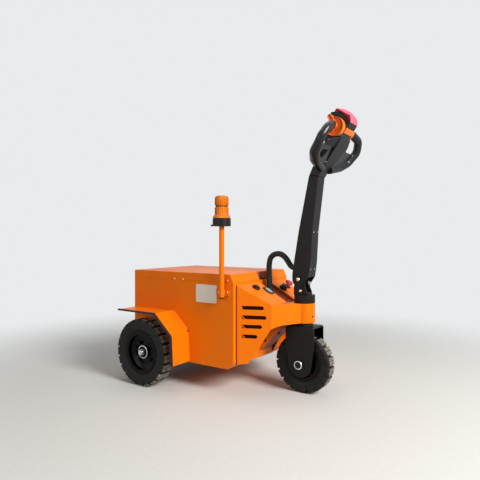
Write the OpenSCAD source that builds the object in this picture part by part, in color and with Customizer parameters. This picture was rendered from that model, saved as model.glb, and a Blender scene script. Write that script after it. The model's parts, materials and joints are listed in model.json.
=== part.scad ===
/* [Layout] */
// Distance from the rear axle to the steered wheel's axle
wheelbase = 713; // [650:1:800]
// Width over the outside of the rear tyres
overall_w = 782; // [770:1:840]
// Tilt of the tiller column forward from upright, in degrees
column_lean = 9; // [6:0.5:12]
// Thickness of the body's steel sheet
sheet = 3; // [2:0.5:4]
// Gap left between parts that sit round each other
seat_gap = 0.3; // [0.2:0.1:0.5]
// Clearance on the radius of a turning pin or shaft
run_gap = 0.05; // [0.02:0.01:0.1]

/* [Rear wheels] */
// Outside diameter over the lugs
rear_tyre_od = 330; // [320:1:336]
// Width of the tyre
rear_tyre_w = 79; // [70:1:86]
// Outside diameter of the rim flange
rear_rim_od = 213; // [200:1:220]
// Diameter of the circle of wheel nuts
rear_nut_circle = 106; // [98:1:116]
// Diameter of the hub's face
rear_hub_d = 64; // [56:1:72]
// Diameter of the wheel spindle
spindle_d = 38; // [30:1:42]

/* [Front wheel] */
// Outside diameter over the lugs
front_tyre_od = 282; // [270:1:284]
// Width of the tyre
front_tyre_w = 65; // [55:1:70]
// Outside diameter of the rim flange
front_rim_od = 172; // [160:1:180]
// Diameter of the front axle
front_axle_d = 20; // [16:1:24]

/* [Tread] */
// Distance between two lugs along the outside of a tyre
lug_pitch = 49; // [40:1:60]
// Length of a lug along the outside of a tyre
lug_l = 37; // [28:1:39]
// Depth of the grooves between the lugs
lug_h = 9; // [6:0.5:11]

/* [Hull] */
// Rear of the hull behind the rear axle
hull_back = 180; // [175:1:200]
// Front of the hull ahead of the rear axle
hull_front = 476; // [460:1:480]
// Width of the hull
hull_w = 510; // [490:1:520]
// Height of the hull's floor over the ground
hull_floor = 120; // [110:1:130]
// Height of the seam between hull and lid
seam_z = 525; // [515:1:535]
// Length of the sloped front bottom corner
corner_x = 36; // [30:1:44]
// Height of the sloped front bottom corner
corner_z = 30; // [24:1:36]
// Start of the battery tray ahead of the rear axle
tray_x = 130; // [118:1:150]

/* [Lid] */
// Height of the lid's flanges
lid_h = 39; // [34:1:46]
// Run of the sloped front edge of the lid
lid_slope_x = 19; // [14:1:24]
// Width of the notch in the lid's front edge
notch_w = 88; // [76:1:90]
// Depth of the notch from the lid's front
notch_x = 22; // [20:1:40]
// How far the notch's middle lies to the left of the machine's
notch_mid = 18; // [14:1:18]
// Diameter of the hinge knuckles
knuckle_d = 14; // [12:1:16]
// Diameter of the hinge pin
hinge_pin_d = 8; // [6:1:9]

/* [Bow housing] */
// Half width of the cheeks where they leave the hull
cheek_y = 232.5; // [225:0.5:240]
// Length of the cheeks ahead of the hull
cheek_x = 153.5; // [145:0.5:160]
// Half width at the fold between cheek and nose
fold_y = 168; // [160:1:176]
// How far the console's upper edge lies below the lid's seam
console_drop = 11; // [5:1:15]
// Height of the flat deck round the steering head
deck_z = 426; // [418:1:434]
// Depth of the cable channel in the console
channel_h = 22; // [16:1:26]
// Half width of the chin under the housing
chin_y = 62; // [56:1:68]
// Height of the louvre slots
slot_h = 17; // [13:1:20]

/* [Steering] */
// Outside diameter of the steering head
head_d = 100; // [92:1:108]
// Height of the steering head
head_h = 93; // [86:1:98]
// Diameter of the steering shaft
shaft_d = 50; // [44:1:56]
// Height of the black swivel cap
cap_h = 38; // [32:1:44]
// Width over the fork
fork_w = 111; // [108:1:118]
// Depth of the fork crown
fork_depth = 147; // [136:1:150]
// Height of the fork crown's top
fork_top = 318; // [312:1:322]
// Thickness of the fork's plate
fork_plate = 8; // [6:0.5:10]
// Radius of the rounded lower end of a fork leg
fork_end_r = 60; // [52:1:64]

/* [Tiller] */
// Height of the tiller's pivot
pivot_z = 537; // [530:1:545]
// How far the pivot lies behind the steering axis
pivot_back = 12; // [8:1:16]
// Diameter of the pivot bolt
pivot_d = 14; // [10:1:16]
// Width of the tiller column
column_w = 78; // [70:1:86]
// Depth of the column at its foot
column_foot = 84; // [80:1:90]
// Depth of the column at its top
column_tip = 47; // [42:1:52]
// Length of the column above the pivot
column_len = 492; // [460:1:520]
// Tilt of the tiller head forward from upright, in degrees
head_lean = 34; // [28:1:38]
// Diameter of the grips
grip_d = 40; // [36:1:42]
// Half width between the grips' outer centrelines
grip_y = 212; // [204:1:220]

/* [Mudguards] */
// Height of the top of the mudguards
guard_z = 368; // [360:1:380]
// Height of the mudguards' lower edge
guard_foot = 127; // [118:1:136]
// How far the mudguards' sloped panel stops short of the hull
return_w = 15; // [10:1:20]
// Thickness of the rubber edging
edging_t = 9; // [7:0.5:11]

/* [Beacon] */
// Diameter of the beacon's pole
pole_d = 24; // [20:1:26]
// Height of the pole's lower end
pole_foot = 458; // [450:1:466]
// Height of the pole's top
pole_top = 789; // [760:1:820]
// Diameter of the beacon's base
beacon_d = 84; // [76:1:90]
// Height of the beacon's base
beacon_base_h = 36; // [30:1:42]
// Height of the beacon's lens
lens_h = 106; // [96:1:116]

/* [Hitch] */
// Width of the hitch plate
hitch_w = 150; // [140:1:160]
// Height of the hitch plate
hitch_h = 210; // [200:1:220]
// Thickness of the hitch plate
hitch_t = 12; // [10:1:14]
// Height of the hitch plate's middle over the ground
hitch_z = 260; // [250:1:270]
// Spacing of the plate's outer holes across
hitch_pitch_y = 100; // [90:1:104]
// Spacing of the plate's outer holes in height
hitch_pitch_z = 160; // [150:1:166]
// Diameter of the plate's outer holes
hitch_hole_d = 13; // [11:0.5:14]
// Reach of the jaw behind its plate
jaw_reach = 96; // [86:1:104]
// Diameter of the drop pin
drop_pin_d = 20; // [16:1:22]

/* [Hidden] */
$fn = 48;
fine = 96;

// Colours of the machine
orange_paint = "#F47A12";
black_paint = "#26221F";
rubber_black = "#2A2826";
chrome_tone = "#C9CBCC";
signal_red = "#D92B3A";
amber = "#F08A10";

// Places along the machine, with the origin under the middle of its whole length
hitch_rear = hull_back + hitch_t + jaw_reach;
head_base_x = wheelbase - pivot_back + column_len * sin(column_lean);
head_base_z = pivot_z + column_len * cos(column_lean);
// The reverse button's crown, in the tiller head's own frame (front and height): the middle and
// radius of its arc seen from the side, whose foremost point is the machine's front end
crown_mid = [-30, 264];
crown_r = 59;
front_reach = head_base_x + crown_mid * [cos(head_lean), sin(head_lean)] + crown_r;
rear_axle_x = -(front_reach - hitch_rear) / 2;
rear_axle_z = rear_tyre_od / 2;
front_axle_z = front_tyre_od / 2;
tyre_mid_y = (overall_w - rear_tyre_w) / 2;
tyre_in_y = overall_w / 2 - rear_tyre_w;
console_top = seam_z - console_drop;
slope_drop = console_top - deck_z;
slope_angle = atan(slope_drop / cheek_x);
fold_x = hull_front + cheek_x;
nose_x = wheelbase + 7;
nose_y = head_d / 2;
head_bottom = deck_z - head_h;
pivot_x = wheelbase - pivot_back;

// Puts a piece that is drawn from the rear axle into the machine's frame
module from_rear_axle() translate([rear_axle_x, 0, 0]) children();

// Puts a piece that is drawn about the steering axis into the machine's frame
module from_steering_axis() translate([rear_axle_x + wheelbase, 0, 0]) children();

// Puts a piece that is drawn about the tiller's pivot, upright, at its lean
module from_pivot() translate([rear_axle_x + pivot_x, 0, pivot_z]) rotate([0, column_lean, 0])
    children();

// Puts a piece that is drawn up the tiller head's own axis at its lean
module from_head() translate([rear_axle_x + head_base_x, 0, head_base_z])
    rotate([0, head_lean, 0]) children();

// Puts a piece on the console's slope: x ahead of the hull, y across, z out of the slope
module on_slope(x, y) translate([rear_axle_x + hull_front + x, y,
    console_top - x * tan(slope_angle)]) rotate([0, slope_angle, 0]) children();

// Turns a side outline, drawn as x and z, into a plate that lies from y0 to y1
module side_plate(y0, y1) translate([0, y1, 0]) rotate([90, 0, 0])
    linear_extrude(y1 - y0) children();

module both_sides() for (side = [-1, 1]) scale([1, side, 1]) children();

function unit(v) = v / norm(v);
function left_of(v) = [-v[1], v[0]];

// The corner point of a line that runs beside an open path at the distance d to its left
function beside(path, i, d) =
    let (last = len(path) - 1,
         a = unit(i > 0 ? path[i] - path[i - 1] : path[1] - path[0]),
         b = unit(i < last ? path[i + 1] - path[i] : path[last] - path[last - 1]),
         m = left_of(a) + left_of(b))
    path[i] + m * 2 * d / (m * m);

// The outline of bent sheet between two distances to the left of a path
function bent_sheet(path, d0, d1) = concat(
    [for (i = [0 : len(path) - 1]) beside(path, i, d0)],
    [for (i = [len(path) - 1 : -1 : 0]) beside(path, i, d1)]);

// A flat bar with round ends, drawn from its first end along x
module round_bar(length, h) {
    translate([h / 2, -h / 2]) square([length - h, h]);
    for (x = [h / 2, length - h / 2]) translate([x, 0]) circle(d = h);
}

// Side outline of the hull
hull_side = [[-hull_back, hull_floor], [hull_front - corner_x, hull_floor],
    [hull_front, hull_floor + corner_z], [hull_front, seam_z], [-hull_back, seam_z]];
// Floor and front wall of the battery tray, from the tray's rear edge up to the seam
tray_path = [[tray_x, hull_floor], [hull_front - corner_x, hull_floor],
    [hull_front, hull_floor + corner_z], [hull_front, seam_z]];
axle_hole_d = 96;

module body_tub() color(orange_paint) from_rear_axle() {
    both_sides() difference() {
        side_plate(hull_w / 2 - sheet, hull_w / 2) polygon(hull_side);
        translate([0, 0, rear_axle_z]) rotate([-90, 0, 0]) cylinder(d = axle_hole_d, h = hull_w);
    }
    side_plate(-hull_w / 2, hull_w / 2) polygon(bent_sheet(tray_path, 0, sheet));
    translate([tray_x, -hull_w / 2, hull_floor]) cube([sheet, hull_w, seam_z - hull_floor - lid_h]);
    translate([-hull_back, -hull_w / 2, hull_floor]) cube([sheet, hull_w, seam_z - hull_floor]);
}

lid_side = [[-hull_back, seam_z], [hull_front, seam_z],
    [hull_front - lid_slope_x, seam_z + lid_h], [-hull_back, seam_z + lid_h]];
lid_path = [[-hull_back, seam_z], [-hull_back, seam_z + lid_h],
    [hull_front - lid_slope_x, seam_z + lid_h], [hull_front, seam_z]];
knuckle_sink = 1;
hinge_x = -hull_back - sheet - knuckle_d / 2 + knuckle_sink;
knuckle_l = 60;
knuckle_gap = 1;
// Places across the machine of the lid's knuckles, and of those on the hull beside them
lid_knuckles = [-150, 150];

module knuckle(y, length) translate([hinge_x, y, seam_z]) rotate([-90, 0, 0])
    cylinder(d = knuckle_d, h = length);

// Upright walls behind the notch and at its two ends
module notch_walls() translate([0, notch_mid, 0]) {
    translate([hull_front - notch_x - sheet, -notch_w / 2 - sheet, seam_z])
        cube([sheet, notch_w + 2 * sheet, lid_h - sheet / 2]);
    both_sides() side_plate(notch_w / 2, notch_w / 2 + sheet) polygon([
        [hull_front - notch_x - sheet, seam_z], [hull_front, seam_z],
        [hull_front - lid_slope_x, seam_z + lid_h], [hull_front - notch_x - sheet, seam_z + lid_h]]);
}

module lid() color(orange_paint) from_rear_axle() {
    notch_walls();
    difference() {
        union() {
            intersection() {
                side_plate(-hull_w / 2, hull_w / 2) polygon(bent_sheet(lid_path, -sheet, 0));
                side_plate(-hull_w / 2, hull_w / 2) polygon(lid_side);
            }
            both_sides() side_plate(hull_w / 2 - sheet, hull_w / 2) polygon(lid_side);
        }
        translate([hull_front - notch_x, notch_mid - notch_w / 2, seam_z - 1])
            cube([notch_x + 1, notch_w, lid_h + 2]);
    }
    for (y = lid_knuckles) difference() {
        union() {
            knuckle(y - knuckle_l / 2, knuckle_l);
            translate([hinge_x, y - knuckle_l / 2, seam_z + knuckle_d / 2 - sheet - knuckle_sink])
                cube([-hull_back - hinge_x + sheet / 2, knuckle_l, sheet]);
        }
        translate([hinge_x, y - knuckle_l, seam_z]) rotate([-90, 0, 0])
            cylinder(d = hinge_pin_d + 2 * run_gap, h = 2 * knuckle_l);
    }
}

module lid_hinge() color(orange_paint) from_rear_axle() for (y = lid_knuckles) {
    translate([hinge_x, y - 3 * knuckle_l / 2, seam_z]) rotate([-90, 0, 0])
        cylinder(d = hinge_pin_d, h = 3 * knuckle_l);
    for (side = [-1, 1]) {
        y0 = y + side * (knuckle_l + knuckle_gap) - knuckle_l / 2;
        knuckle(y0, knuckle_l);
        translate([-hull_back - sheet, y0, seam_z - 3 * knuckle_d])
            cube([sheet, knuckle_l, 3 * knuckle_d]);
    }
}

// Plan of one side of the bow housing: cheek and nose, out to the steering head
bow_path = [[hull_front, -cheek_y], [fold_x, -fold_y], [nose_x, -nose_y]];
// Side outline of the bow housing, from the cheek's rear bottom corner along its lower edge
bow_side = [[hull_front, 143], [526, 150], [570, 219], [624, 312], [644, 324], [667, 330],
    [nose_x - 5, head_bottom + 1], [nose_x + 40, head_bottom + 1], [nose_x + 40, deck_z],
    [fold_x, deck_z], [hull_front, console_top]];
slot_start = 20;
// Each louvre slot: height of its middle, and its length along x
slots = [[410, 99], [366, 110], [323, 91], [277, 71]];
cheek_turn = atan((cheek_y - fold_y) / cheek_x);

module bow_plan_inside() intersection() {
    polygon(concat([for (i = [0 : 2]) beside(bow_path, i, sheet)],
        [for (i = [2 : -1 : 0]) let (p = beside(bow_path, i, sheet)) [p[0], -p[1]]]));
    translate([hull_front, -hull_w / 2]) square([nose_x + 40 - hull_front, hull_w]);
}

module bow_housing() color(orange_paint) from_rear_axle() difference() {
    intersection() {
        union() both_sides() linear_extrude(seam_z) polygon(bent_sheet(bow_path, 0, sheet));
        side_plate(-hull_w, hull_w) polygon(bow_side);
    }
    both_sides() translate([hull_front, -cheek_y, 0]) rotate([0, 0, cheek_turn])
        for (s = slots) side_plate(-sheet, 2 * sheet)
            translate([slot_start / cos(cheek_turn), s[0]]) round_bar(s[1] / cos(cheek_turn), slot_h);
    translate([wheelbase, 0, 0]) cylinder(d = head_d + 2 * seat_gap, h = seam_z);
}

console_path = [[hull_front, console_top], [fold_x, deck_z], [nose_x + 40, deck_z]];
channel_path = [[hull_front, console_top - channel_h], [fold_x - 24, deck_z - channel_h + 15],
    [fold_x + 20, deck_z]];

module console() color(orange_paint) from_rear_axle() {
    intersection() {
        linear_extrude(seam_z) difference() {
            bow_plan_inside();
            translate([wheelbase, 0]) circle(d = head_d + 2 * seat_gap);
        }
        union() {
            difference() {
                side_plate(-hull_w, hull_w) polygon(bent_sheet(console_path, -sheet, 0));
                side_plate(notch_mid - notch_w / 2, notch_mid + notch_w / 2)
                    polygon([[hull_front - 1, 0], [fold_x + 20, 0], [fold_x + 20, deck_z + 1],
                        [fold_x, deck_z + 1], [hull_front, console_top + 1],
                        [hull_front - 1, console_top + 1]]);
            }
            translate([0, notch_mid, 0]) {
                side_plate(-notch_w / 2 - sheet, notch_w / 2 + sheet)
                    polygon(bent_sheet(channel_path, -sheet, 0));
                both_sides() side_plate(notch_w / 2, notch_w / 2 + sheet)
                    polygon(concat(channel_path, [[fold_x, deck_z], [hull_front, console_top]]));
            }
        }
    }
}

// Front wall behind the wheel: its place, foot and top, and how high the chin's opening in it reaches
front_wall_x = hull_front + 21;
wall_foot = 147;
wall_top = 430;
chin_open_z = 180;
chin_side = [[front_wall_x, 145], [front_wall_x + 3, 178], [558, 242], [606, 297], [606, 325],
    [wheelbase - head_d / 2 - seat_gap, head_bottom + 1]];

module arch_liner() color(orange_paint) from_rear_axle() {
    intersection() {
        linear_extrude(seam_z) bow_plan_inside();
        union() {
            difference() {
                side_plate(-hull_w, hull_w) translate([front_wall_x - sheet, wall_foot])
                    square([sheet, wall_top - wall_foot]);
                translate([hull_front, -chin_y, 0])
                    cube([2 * (front_wall_x - hull_front), 2 * chin_y, chin_open_z]);
            }
            side_plate(-chin_y, chin_y) polygon(bent_sheet(chin_side, 0, sheet));
            both_sides() side_plate(chin_y - sheet, chin_y) polygon(concat(chin_side,
                [[640, 380], [front_wall_x - sheet, 380], [front_wall_x - sheet, wall_foot]]));
        }
    }
}

module steering_head() color(orange_paint) from_steering_axis() translate([0, 0, head_bottom])
    difference() {
        cylinder(d = head_d, h = head_h, $fn = fine);
        translate([0, 0, -1]) cylinder(d = shaft_d + 2 * run_gap, h = head_h + 2, $fn = fine);
    }

guard_y = overall_w / 2 - 3;
guard_path = [[-160, guard_z], [93, guard_z], [204, 268], [212, guard_foot]];

guard_incline = guard_path[2] - guard_path[1];
incline_l = norm(guard_incline);
incline_turn = -atan2(guard_incline[1], guard_incline[0]);
// The sloped panel ends in a strip turned up at 45 degrees, whose far edge meets the hull's side
strip_w = return_w * sqrt(2) - sheet;
// Where that edge leaves the level of the top panel, ahead of the fold
gusset_l = return_w / sin(incline_turn);

// Puts a piece on the mudguards' slope: x down it, y across, z out of it
module on_incline() translate([guard_path[1][0], 0, guard_path[1][1]])
    rotate([0, incline_turn, 0]) children();

module mudguard() from_rear_axle() {
    difference() {
        side_plate(hull_w / 2, guard_y) polygon(bent_sheet(guard_path, -sheet, 0));
        on_incline() translate([sheet, hull_w / 2 - 1, -2 * sheet])
            cube([incline_l - 2 * sheet, return_w + 1 - sheet, 3 * sheet]);
    }
    intersection() {
        on_incline() translate([0, hull_w / 2 + return_w, 0]) rotate([135, 0, 0])
            linear_extrude(sheet) polygon([[0, 0], [incline_l, 0],
                [incline_l - strip_w, strip_w], [0, strip_w]]);
        cube([hull_front, overall_w, guard_z]);
    }
    translate([guard_path[1][0], hull_w / 2, guard_z - sheet]) linear_extrude(sheet)
        polygon([[-sheet, 0], [gusset_l, 0], [0, return_w], [-sheet, return_w]]);
}

module edging() from_rear_axle() difference() {
    side_plate(guard_y - edging_t, guard_y + 3)
        polygon(bent_sheet(guard_path, -sheet / 2 - edging_t / 2, edging_t / 2 - sheet / 2));
    side_plate(guard_y - edging_t - 1, guard_y) polygon(bent_sheet(
        [[-200, guard_z], guard_path[1], guard_path[2], guard_path[3] * 2 - guard_path[2]],
        -sheet, 0));
}

module mudguard_right() color(orange_paint) scale([1, -1, 1]) mudguard();
module mudguard_left() color(orange_paint) mudguard();
module edging_right() color(rubber_black) scale([1, -1, 1]) edging();
module edging_left() color(rubber_black) edging();

battery_h = 300;
battery_gap_x = 10;
battery_gap_y = 27;

module battery() color("#4A4D50") from_rear_axle()
    translate([tray_x + sheet + battery_gap_x, -hull_w / 2 + sheet + battery_gap_y, hull_floor + sheet])
        cube([hull_front - corner_x - tray_x - sheet - 2 * battery_gap_x,
            hull_w - 2 * sheet - 2 * battery_gap_y, battery_h]);

gear_r = 88;
gear_w = 140;
axle_tube_d = 64;
brake_d = 90;
brake_t = 14;
hub_gap = 0.5;
hub_in_y = tyre_in_y - 16;
// Square plates that carry the axle on the insides of the hull
carrier_w = 136;
carrier_t = 10;
motor_d = 120;
motor_l = 130;

module drive_axle() color("#3A3C3E") from_rear_axle() translate([0, 0, rear_axle_z]) {
    difference() {
        rotate([-90, 0, 0]) translate([0, 0, -hub_in_y]) {
            cylinder(d = axle_tube_d, h = 2 * hub_in_y);
            translate([0, 0, hub_in_y - gear_w / 2]) cylinder(r = gear_r - 12, h = gear_w);
            for (y = [0, 2 * hub_in_y - brake_t]) translate([0, 0, y])
                cylinder(d = brake_d, h = brake_t);
            for (y = [sheet, hull_w - sheet - carrier_t])
                translate([-carrier_w / 2, -carrier_w / 2, hub_in_y - hull_w / 2 + y])
                    cube([carrier_w, carrier_w, carrier_t]);
        }
        for (side = [-1, 1]) rotate([-90 * side, 0, 0]) translate([0, 0, hub_in_y - 90])
            cylinder(d = spindle_d + 2 * run_gap, h = 100);
    }
}

module drive_motor() color("#2E3032") from_rear_axle()
    translate([-gear_r, gear_w / 2, rear_axle_z + gear_w / 2]) rotate([-90, 0, 0])
        cylinder(d = motor_d, h = motor_l);

// The rim's flanges stand this share of the tyre's width either side of its middle
bead_share = 0.36;
flange_t = 3;
flange_h = 14;

// The lugs' flanks stand this far out from the sidewall
lug_flank = 1;
// Width and height of the slope on the lugs' shoulders, and how far the flanks reach down
shoulder = 8;
shoulder_down = 16;

// Section of a tyre's casing as radius and distance from its middle, seated between its rim's flanges
function tyre_profile(od, w, rim) =
    let (seat = rim / 2 - flange_h + seat_gap, bead = w * bead_share - seat_gap,
         groove = od / 2 - lug_h, wall = w / 2 - lug_flank,
         half = [[seat, bead], [rim / 2 + seat_gap, bead], [rim / 2 + flange_h, wall],
             [groove - shoulder, wall], [groove, wall - shoulder]])
    concat(half, [for (i = [len(half) - 1 : -1 : 0]) [half[i][0], -half[i][1]]]);

// Section of a lug across the tyre: it runs over both shoulders and down the sidewalls
function lug_profile(od, w) =
    let (foot = od / 2 - lug_h - shoulder_down, edge = w / 2)
    [[-edge, foot], [edge, foot], [edge, od / 2 - shoulder], [edge - shoulder, od / 2],
        [shoulder - edge, od / 2], [-edge, od / 2 - shoulder]];

// One lug stands on the ground, and the rest follow round the tyre
module tyre(od, w, rim) {
    rotate([90, 0, 0]) rotate_extrude($fn = fine) polygon(tyre_profile(od, w, rim));
    lugs = round(PI * od / lug_pitch);
    for (i = [0 : lugs - 1]) rotate([0, 180 + 360 * i / lugs, 0]) translate([-lug_l / 2, 0, 0])
        rotate([90, 0, 90]) linear_extrude(lug_l) polygon(lug_profile(od, w));
}

// Dished rim, with its outer side toward -y; the disc lies at the depth of the dish
rim_t = 4;
disc_t = 5;
module dished_rim(rim, w, dish, bore) rotate([90, 0, 0]) rotate_extrude($fn = fine) {
    bead = w * bead_share;
    barrel = rim / 2 - flange_h;
    polygon([[barrel - rim_t, -bead - flange_t], [rim / 2, -bead - flange_t], [rim / 2, -bead],
        [barrel, -bead], [barrel, bead], [rim / 2, bead], [rim / 2, bead + flange_t],
        [barrel - rim_t, bead + flange_t]]);
    polygon([[bore / 2, bead - dish - disc_t], [rim * 0.3, bead - dish - disc_t],
        [barrel - 2, bead - dish + 9], [barrel - 2, bead - dish + 14],
        [rim * 0.3, bead - dish], [bore / 2, bead - dish]]);
}

// Four round seats for the wheel's bolts, on the outer face of its disc at the height z
module bolt_seats(circle_d, d, z, h) rotate([90, 0, 0]) for (turn = [45 : 90 : 315])
    rotate([0, 0, turn]) translate([circle_d / 2, 0, z - disc_t / 2])
        cylinder(d = d, h = disc_t / 2 + h);

module rear_wheel_place(side) from_rear_axle() translate([0, side * tyre_mid_y, rear_axle_z])
    scale([1, -side, 1]) children();

rear_dish = 34;
module rear_tyre(side) rear_wheel_place(side) tyre(rear_tyre_od, rear_tyre_w, rear_rim_od);
seat_d = 20;
seat_h = 3;
module rear_rim(side) rear_wheel_place(side) {
    dished_rim(rear_rim_od, rear_tyre_w, rear_dish, rear_hub_d - 10);
    bolt_seats(rear_nut_circle, seat_d, rear_tyre_w * bead_share - rear_dish, seat_h);
}
module rear_hub(side) rear_wheel_place(side) rotate([90, 0, 0]) {
    disc_z = rear_tyre_w * bead_share - rear_dish;
    inner = -(tyre_mid_y - hub_in_y) + hub_gap;
    translate([0, 0, inner - 80]) cylinder(d = spindle_d, h = 81);
    translate([0, 0, inner]) cylinder(d = rear_nut_circle - 14, h = disc_z - disc_t - inner);
    translate([0, 0, disc_z - disc_t]) cylinder(d = rear_hub_d - 10, h = disc_t);
    translate([0, 0, disc_z]) cylinder(d = rear_hub_d, h = 22);
    translate([0, 0, disc_z + 22]) cylinder(d1 = rear_hub_d - 10, d2 = rear_hub_d - 26, h = 6);
    translate([0, 0, disc_z + 28]) cylinder(d = 26, h = 12);
}

module tyre_right() color(rubber_black) rear_tyre(-1);
module tyre_left() color(rubber_black) rear_tyre(1);
module rim_right() color("#161616") rear_rim(-1);
module rim_left() color("#161616") rear_rim(1);
module hub_right() color(chrome_tone) rear_hub(-1);
module hub_left() color(chrome_tone) rear_hub(1);

fork_edge = fork_depth / 2;
fork_corner = 7;
fork_taper_z = 230;
fork_leg = [[-fork_edge + fork_corner, fork_top], [-fork_edge, fork_top - fork_corner],
    [-fork_edge, fork_taper_z], [-fork_end_r, front_axle_z], [fork_end_r, front_axle_z],
    [fork_edge, fork_taper_z], [fork_edge, fork_top - fork_corner], [fork_edge - fork_corner, fork_top]];
fork_bore_d = front_axle_d;

module fork() color(black_paint) from_steering_axis() {
    difference() {
        side_plate(-fork_w / 2, fork_w / 2) {
            polygon(fork_leg);
            translate([0, front_axle_z]) circle(r = fork_end_r);
        }
        translate([-fork_depth, -fork_w / 2 + fork_plate, 0])
            cube([2 * fork_depth, fork_w - 2 * fork_plate, fork_top - fork_plate]);
        translate([0, -fork_w, front_axle_z]) rotate([-90, 0, 0])
            cylinder(d = fork_bore_d + 2 * run_gap, h = 2 * fork_w);
    }
    translate([0, 0, fork_top]) cylinder(d = head_d - 20, h = head_bottom - fork_top - seat_gap);
    translate([0, 0, fork_top]) cylinder(d = shaft_d, h = deck_z - fork_top);
}

module front_axle() color(chrome_tone) from_steering_axis() translate([0, 0, front_axle_z])
    rotate([-90, 0, 0]) {
        translate([0, 0, -fork_w / 2]) cylinder(d = front_axle_d, h = fork_w);
        for (side = [-1, 1]) scale([1, 1, side]) {
            translate([0, 0, fork_w / 2]) cylinder(d = 40, h = 4);
            translate([0, 0, fork_w / 2 + 4]) cylinder(d = 27, h = 10, $fn = 6);
        }
    }

module tyre_front() color(rubber_black) from_steering_axis() translate([0, 0, front_axle_z])
    tyre(front_tyre_od, front_tyre_w, front_rim_od);

front_dish = 14;
front_hub_d = 56;
front_bolt_circle = 80;
boss_d = 18;
boss_h = 8;
module rim_front() color("#161616") from_steering_axis() translate([0, 0, front_axle_z]) {
    dished_rim(front_rim_od, front_tyre_w, front_dish, front_hub_d - 2);
    bolt_seats(front_bolt_circle, boss_d, front_tyre_w * bead_share - front_dish, boss_h);
    rotate([-90, 0, 0]) difference() {
        translate([0, 0, -fork_w / 2 + fork_plate + seat_gap])
            cylinder(d = front_hub_d, h = fork_w - 2 * fork_plate - 2 * seat_gap);
        translate([0, 0, -fork_w]) cylinder(d = front_axle_d + 2 * run_gap, h = 2 * fork_w);
    }
}

cap_z = deck_z + seat_gap;
module swivel_cap() color(black_paint) from_steering_axis() translate([0, 0, cap_z])
    cylinder(d = head_d, h = cap_h, $fn = fine);

lug_w = 58;
lug_cheek = 8;
lug_base = 12;
lug_eye = 24;
pivot_up = pivot_z - cap_z - cap_h;
lug_back = -44;
lug_front = 26;
lug_side = [[lug_back, 0], [lug_back, 34], [-pivot_back - lug_eye + 2, pivot_up],
    [-pivot_back + lug_eye - 2, pivot_up], [16, 36], [lug_front, lug_base], [lug_front, 0]];
module tiller_lug() color(black_paint) from_steering_axis() translate([0, 0, cap_z + cap_h]) {
    translate([lug_back, -lug_w / 2, 0]) cube([lug_front - lug_back, lug_w, lug_base]);
    both_sides() difference() {
        side_plate(lug_w / 2 - lug_cheek, lug_w / 2) {
            polygon(lug_side);
            translate([-pivot_back, pivot_up]) circle(r = lug_eye);
        }
        translate([-pivot_back, 0, pivot_up]) rotate([-90, 0, 0])
            cylinder(d = pivot_d + 2 * run_gap, h = head_d);
    }
}

// Side outline of the column about its pivot, with the column upright
foot_cut = 20;
column_back = -38;
column_front = column_foot + column_back;
column_side = [[column_back, foot_cut], [column_back, 90], [column_back + 2, 232],
    [-column_tip / 2, column_len], [column_tip / 2, column_len], [column_front - 14, 243],
    [column_front, 103], [column_front, foot_cut]];
column_wall = 4;
foot_r = 34;
hollow_top = 150;

module column() color(black_paint) from_pivot() {
    difference() {
        union() {
            side_plate(-column_w / 2, column_w / 2) polygon(column_side);
            both_sides() side_plate(column_w / 2 - column_wall, column_w / 2) {
                circle(r = foot_r);
                polygon([[-foot_r, -4], [column_back, foot_cut], [column_front, foot_cut], [28, -18]]);
            }
        }
        side_plate(-column_w / 2 + column_wall, column_w / 2 - column_wall)
            polygon([[column_back + column_wall, -60], [column_back + column_wall, hollow_top],
                [column_front - 5 - column_wall, hollow_top], [column_front - column_wall, 103],
                [column_front - column_wall, foot_cut - 1], [column_foot, foot_cut - 1],
                [column_foot, -60]]);
        translate([0, -100, 0]) rotate([-90, 0, 0]) cylinder(d = pivot_d + 2 * run_gap, h = 200);
    }
    translate([0, -column_w / 2 - 1, 0]) rotate([-90, 0, 0])
        cylinder(d = pivot_d, h = column_w + 2);
    for (side = [-1, 1]) translate([0, side * (column_w / 2 + 4) - 4, 0]) rotate([-90, 0, 0])
        cylinder(d = 22, h = 8);
}

// Front outline of one half of the tiller head: half width, height up the head's axis
head_y = 52;
crown_y = 42;
head_top_z = 300;
head_half = [[column_w / 2 + 1, 40], [head_y + 5, 165], [head_y + 5, 208], [head_y, 222],
    [head_y, 258], [crown_y + 2, 268], [crown_y + 2, head_top_z], [0, head_top_z]];
// Farther than the head reaches to the front or the rear
head_deep = 90;
// Side outline of the tiller head, as front and height: up its face, back along the bed of the
// reverse button and down its rear; its foot follows the column's top
face_n = 20;
button_bed = [[25, 282], [8, 288], [-9, 294], [-28, 299], [-48, 299], [-72, 291]];
head_side = concat([[20, 50], [33, 170], [30, 208], [face_n, 228], [face_n, 258], [25, 264]],
    button_bed, [[-84, 283], [-80, 262], [-58, 225], [-30, 150], [-30, 46]]);
// The column's top, rear then front, as the head's own frame has it
neck_turn = head_lean - column_lean;
column_top = [for (x = [-column_tip / 2, column_tip / 2])
    [x * cos(neck_turn) - seat_gap * sin(neck_turn), x * sin(neck_turn) + seat_gap * cos(neck_turn)]];

module head_outline() polygon(concat([[-column_w / 2, -40], [column_w / 2, -40]], head_half,
    [for (i = [len(head_half) - 1 : -1 : 0]) [-head_half[i][0], head_half[i][1]]]));

// Turns a front outline, drawn as y and z, into a plate that lies from x0 to x1
module head_slab(x0, x1) translate([x0, 0, 0]) rotate([90, 0, 90]) linear_extrude(x1 - x0)
    children();

module head_housing() color(black_paint) from_head() intersection() {
    head_slab(-head_deep, head_deep) head_outline();
    side_plate(-head_deep, head_deep) polygon(concat(column_top, head_side));
}

// The throttle wings turn about the inner ends of the grips: front and height of that axis, and
// where along it the wings and the grips begin
hub_n = -18;
hub_z = 238;
hub_end = 100;
wing_y = [58, 88];
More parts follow.
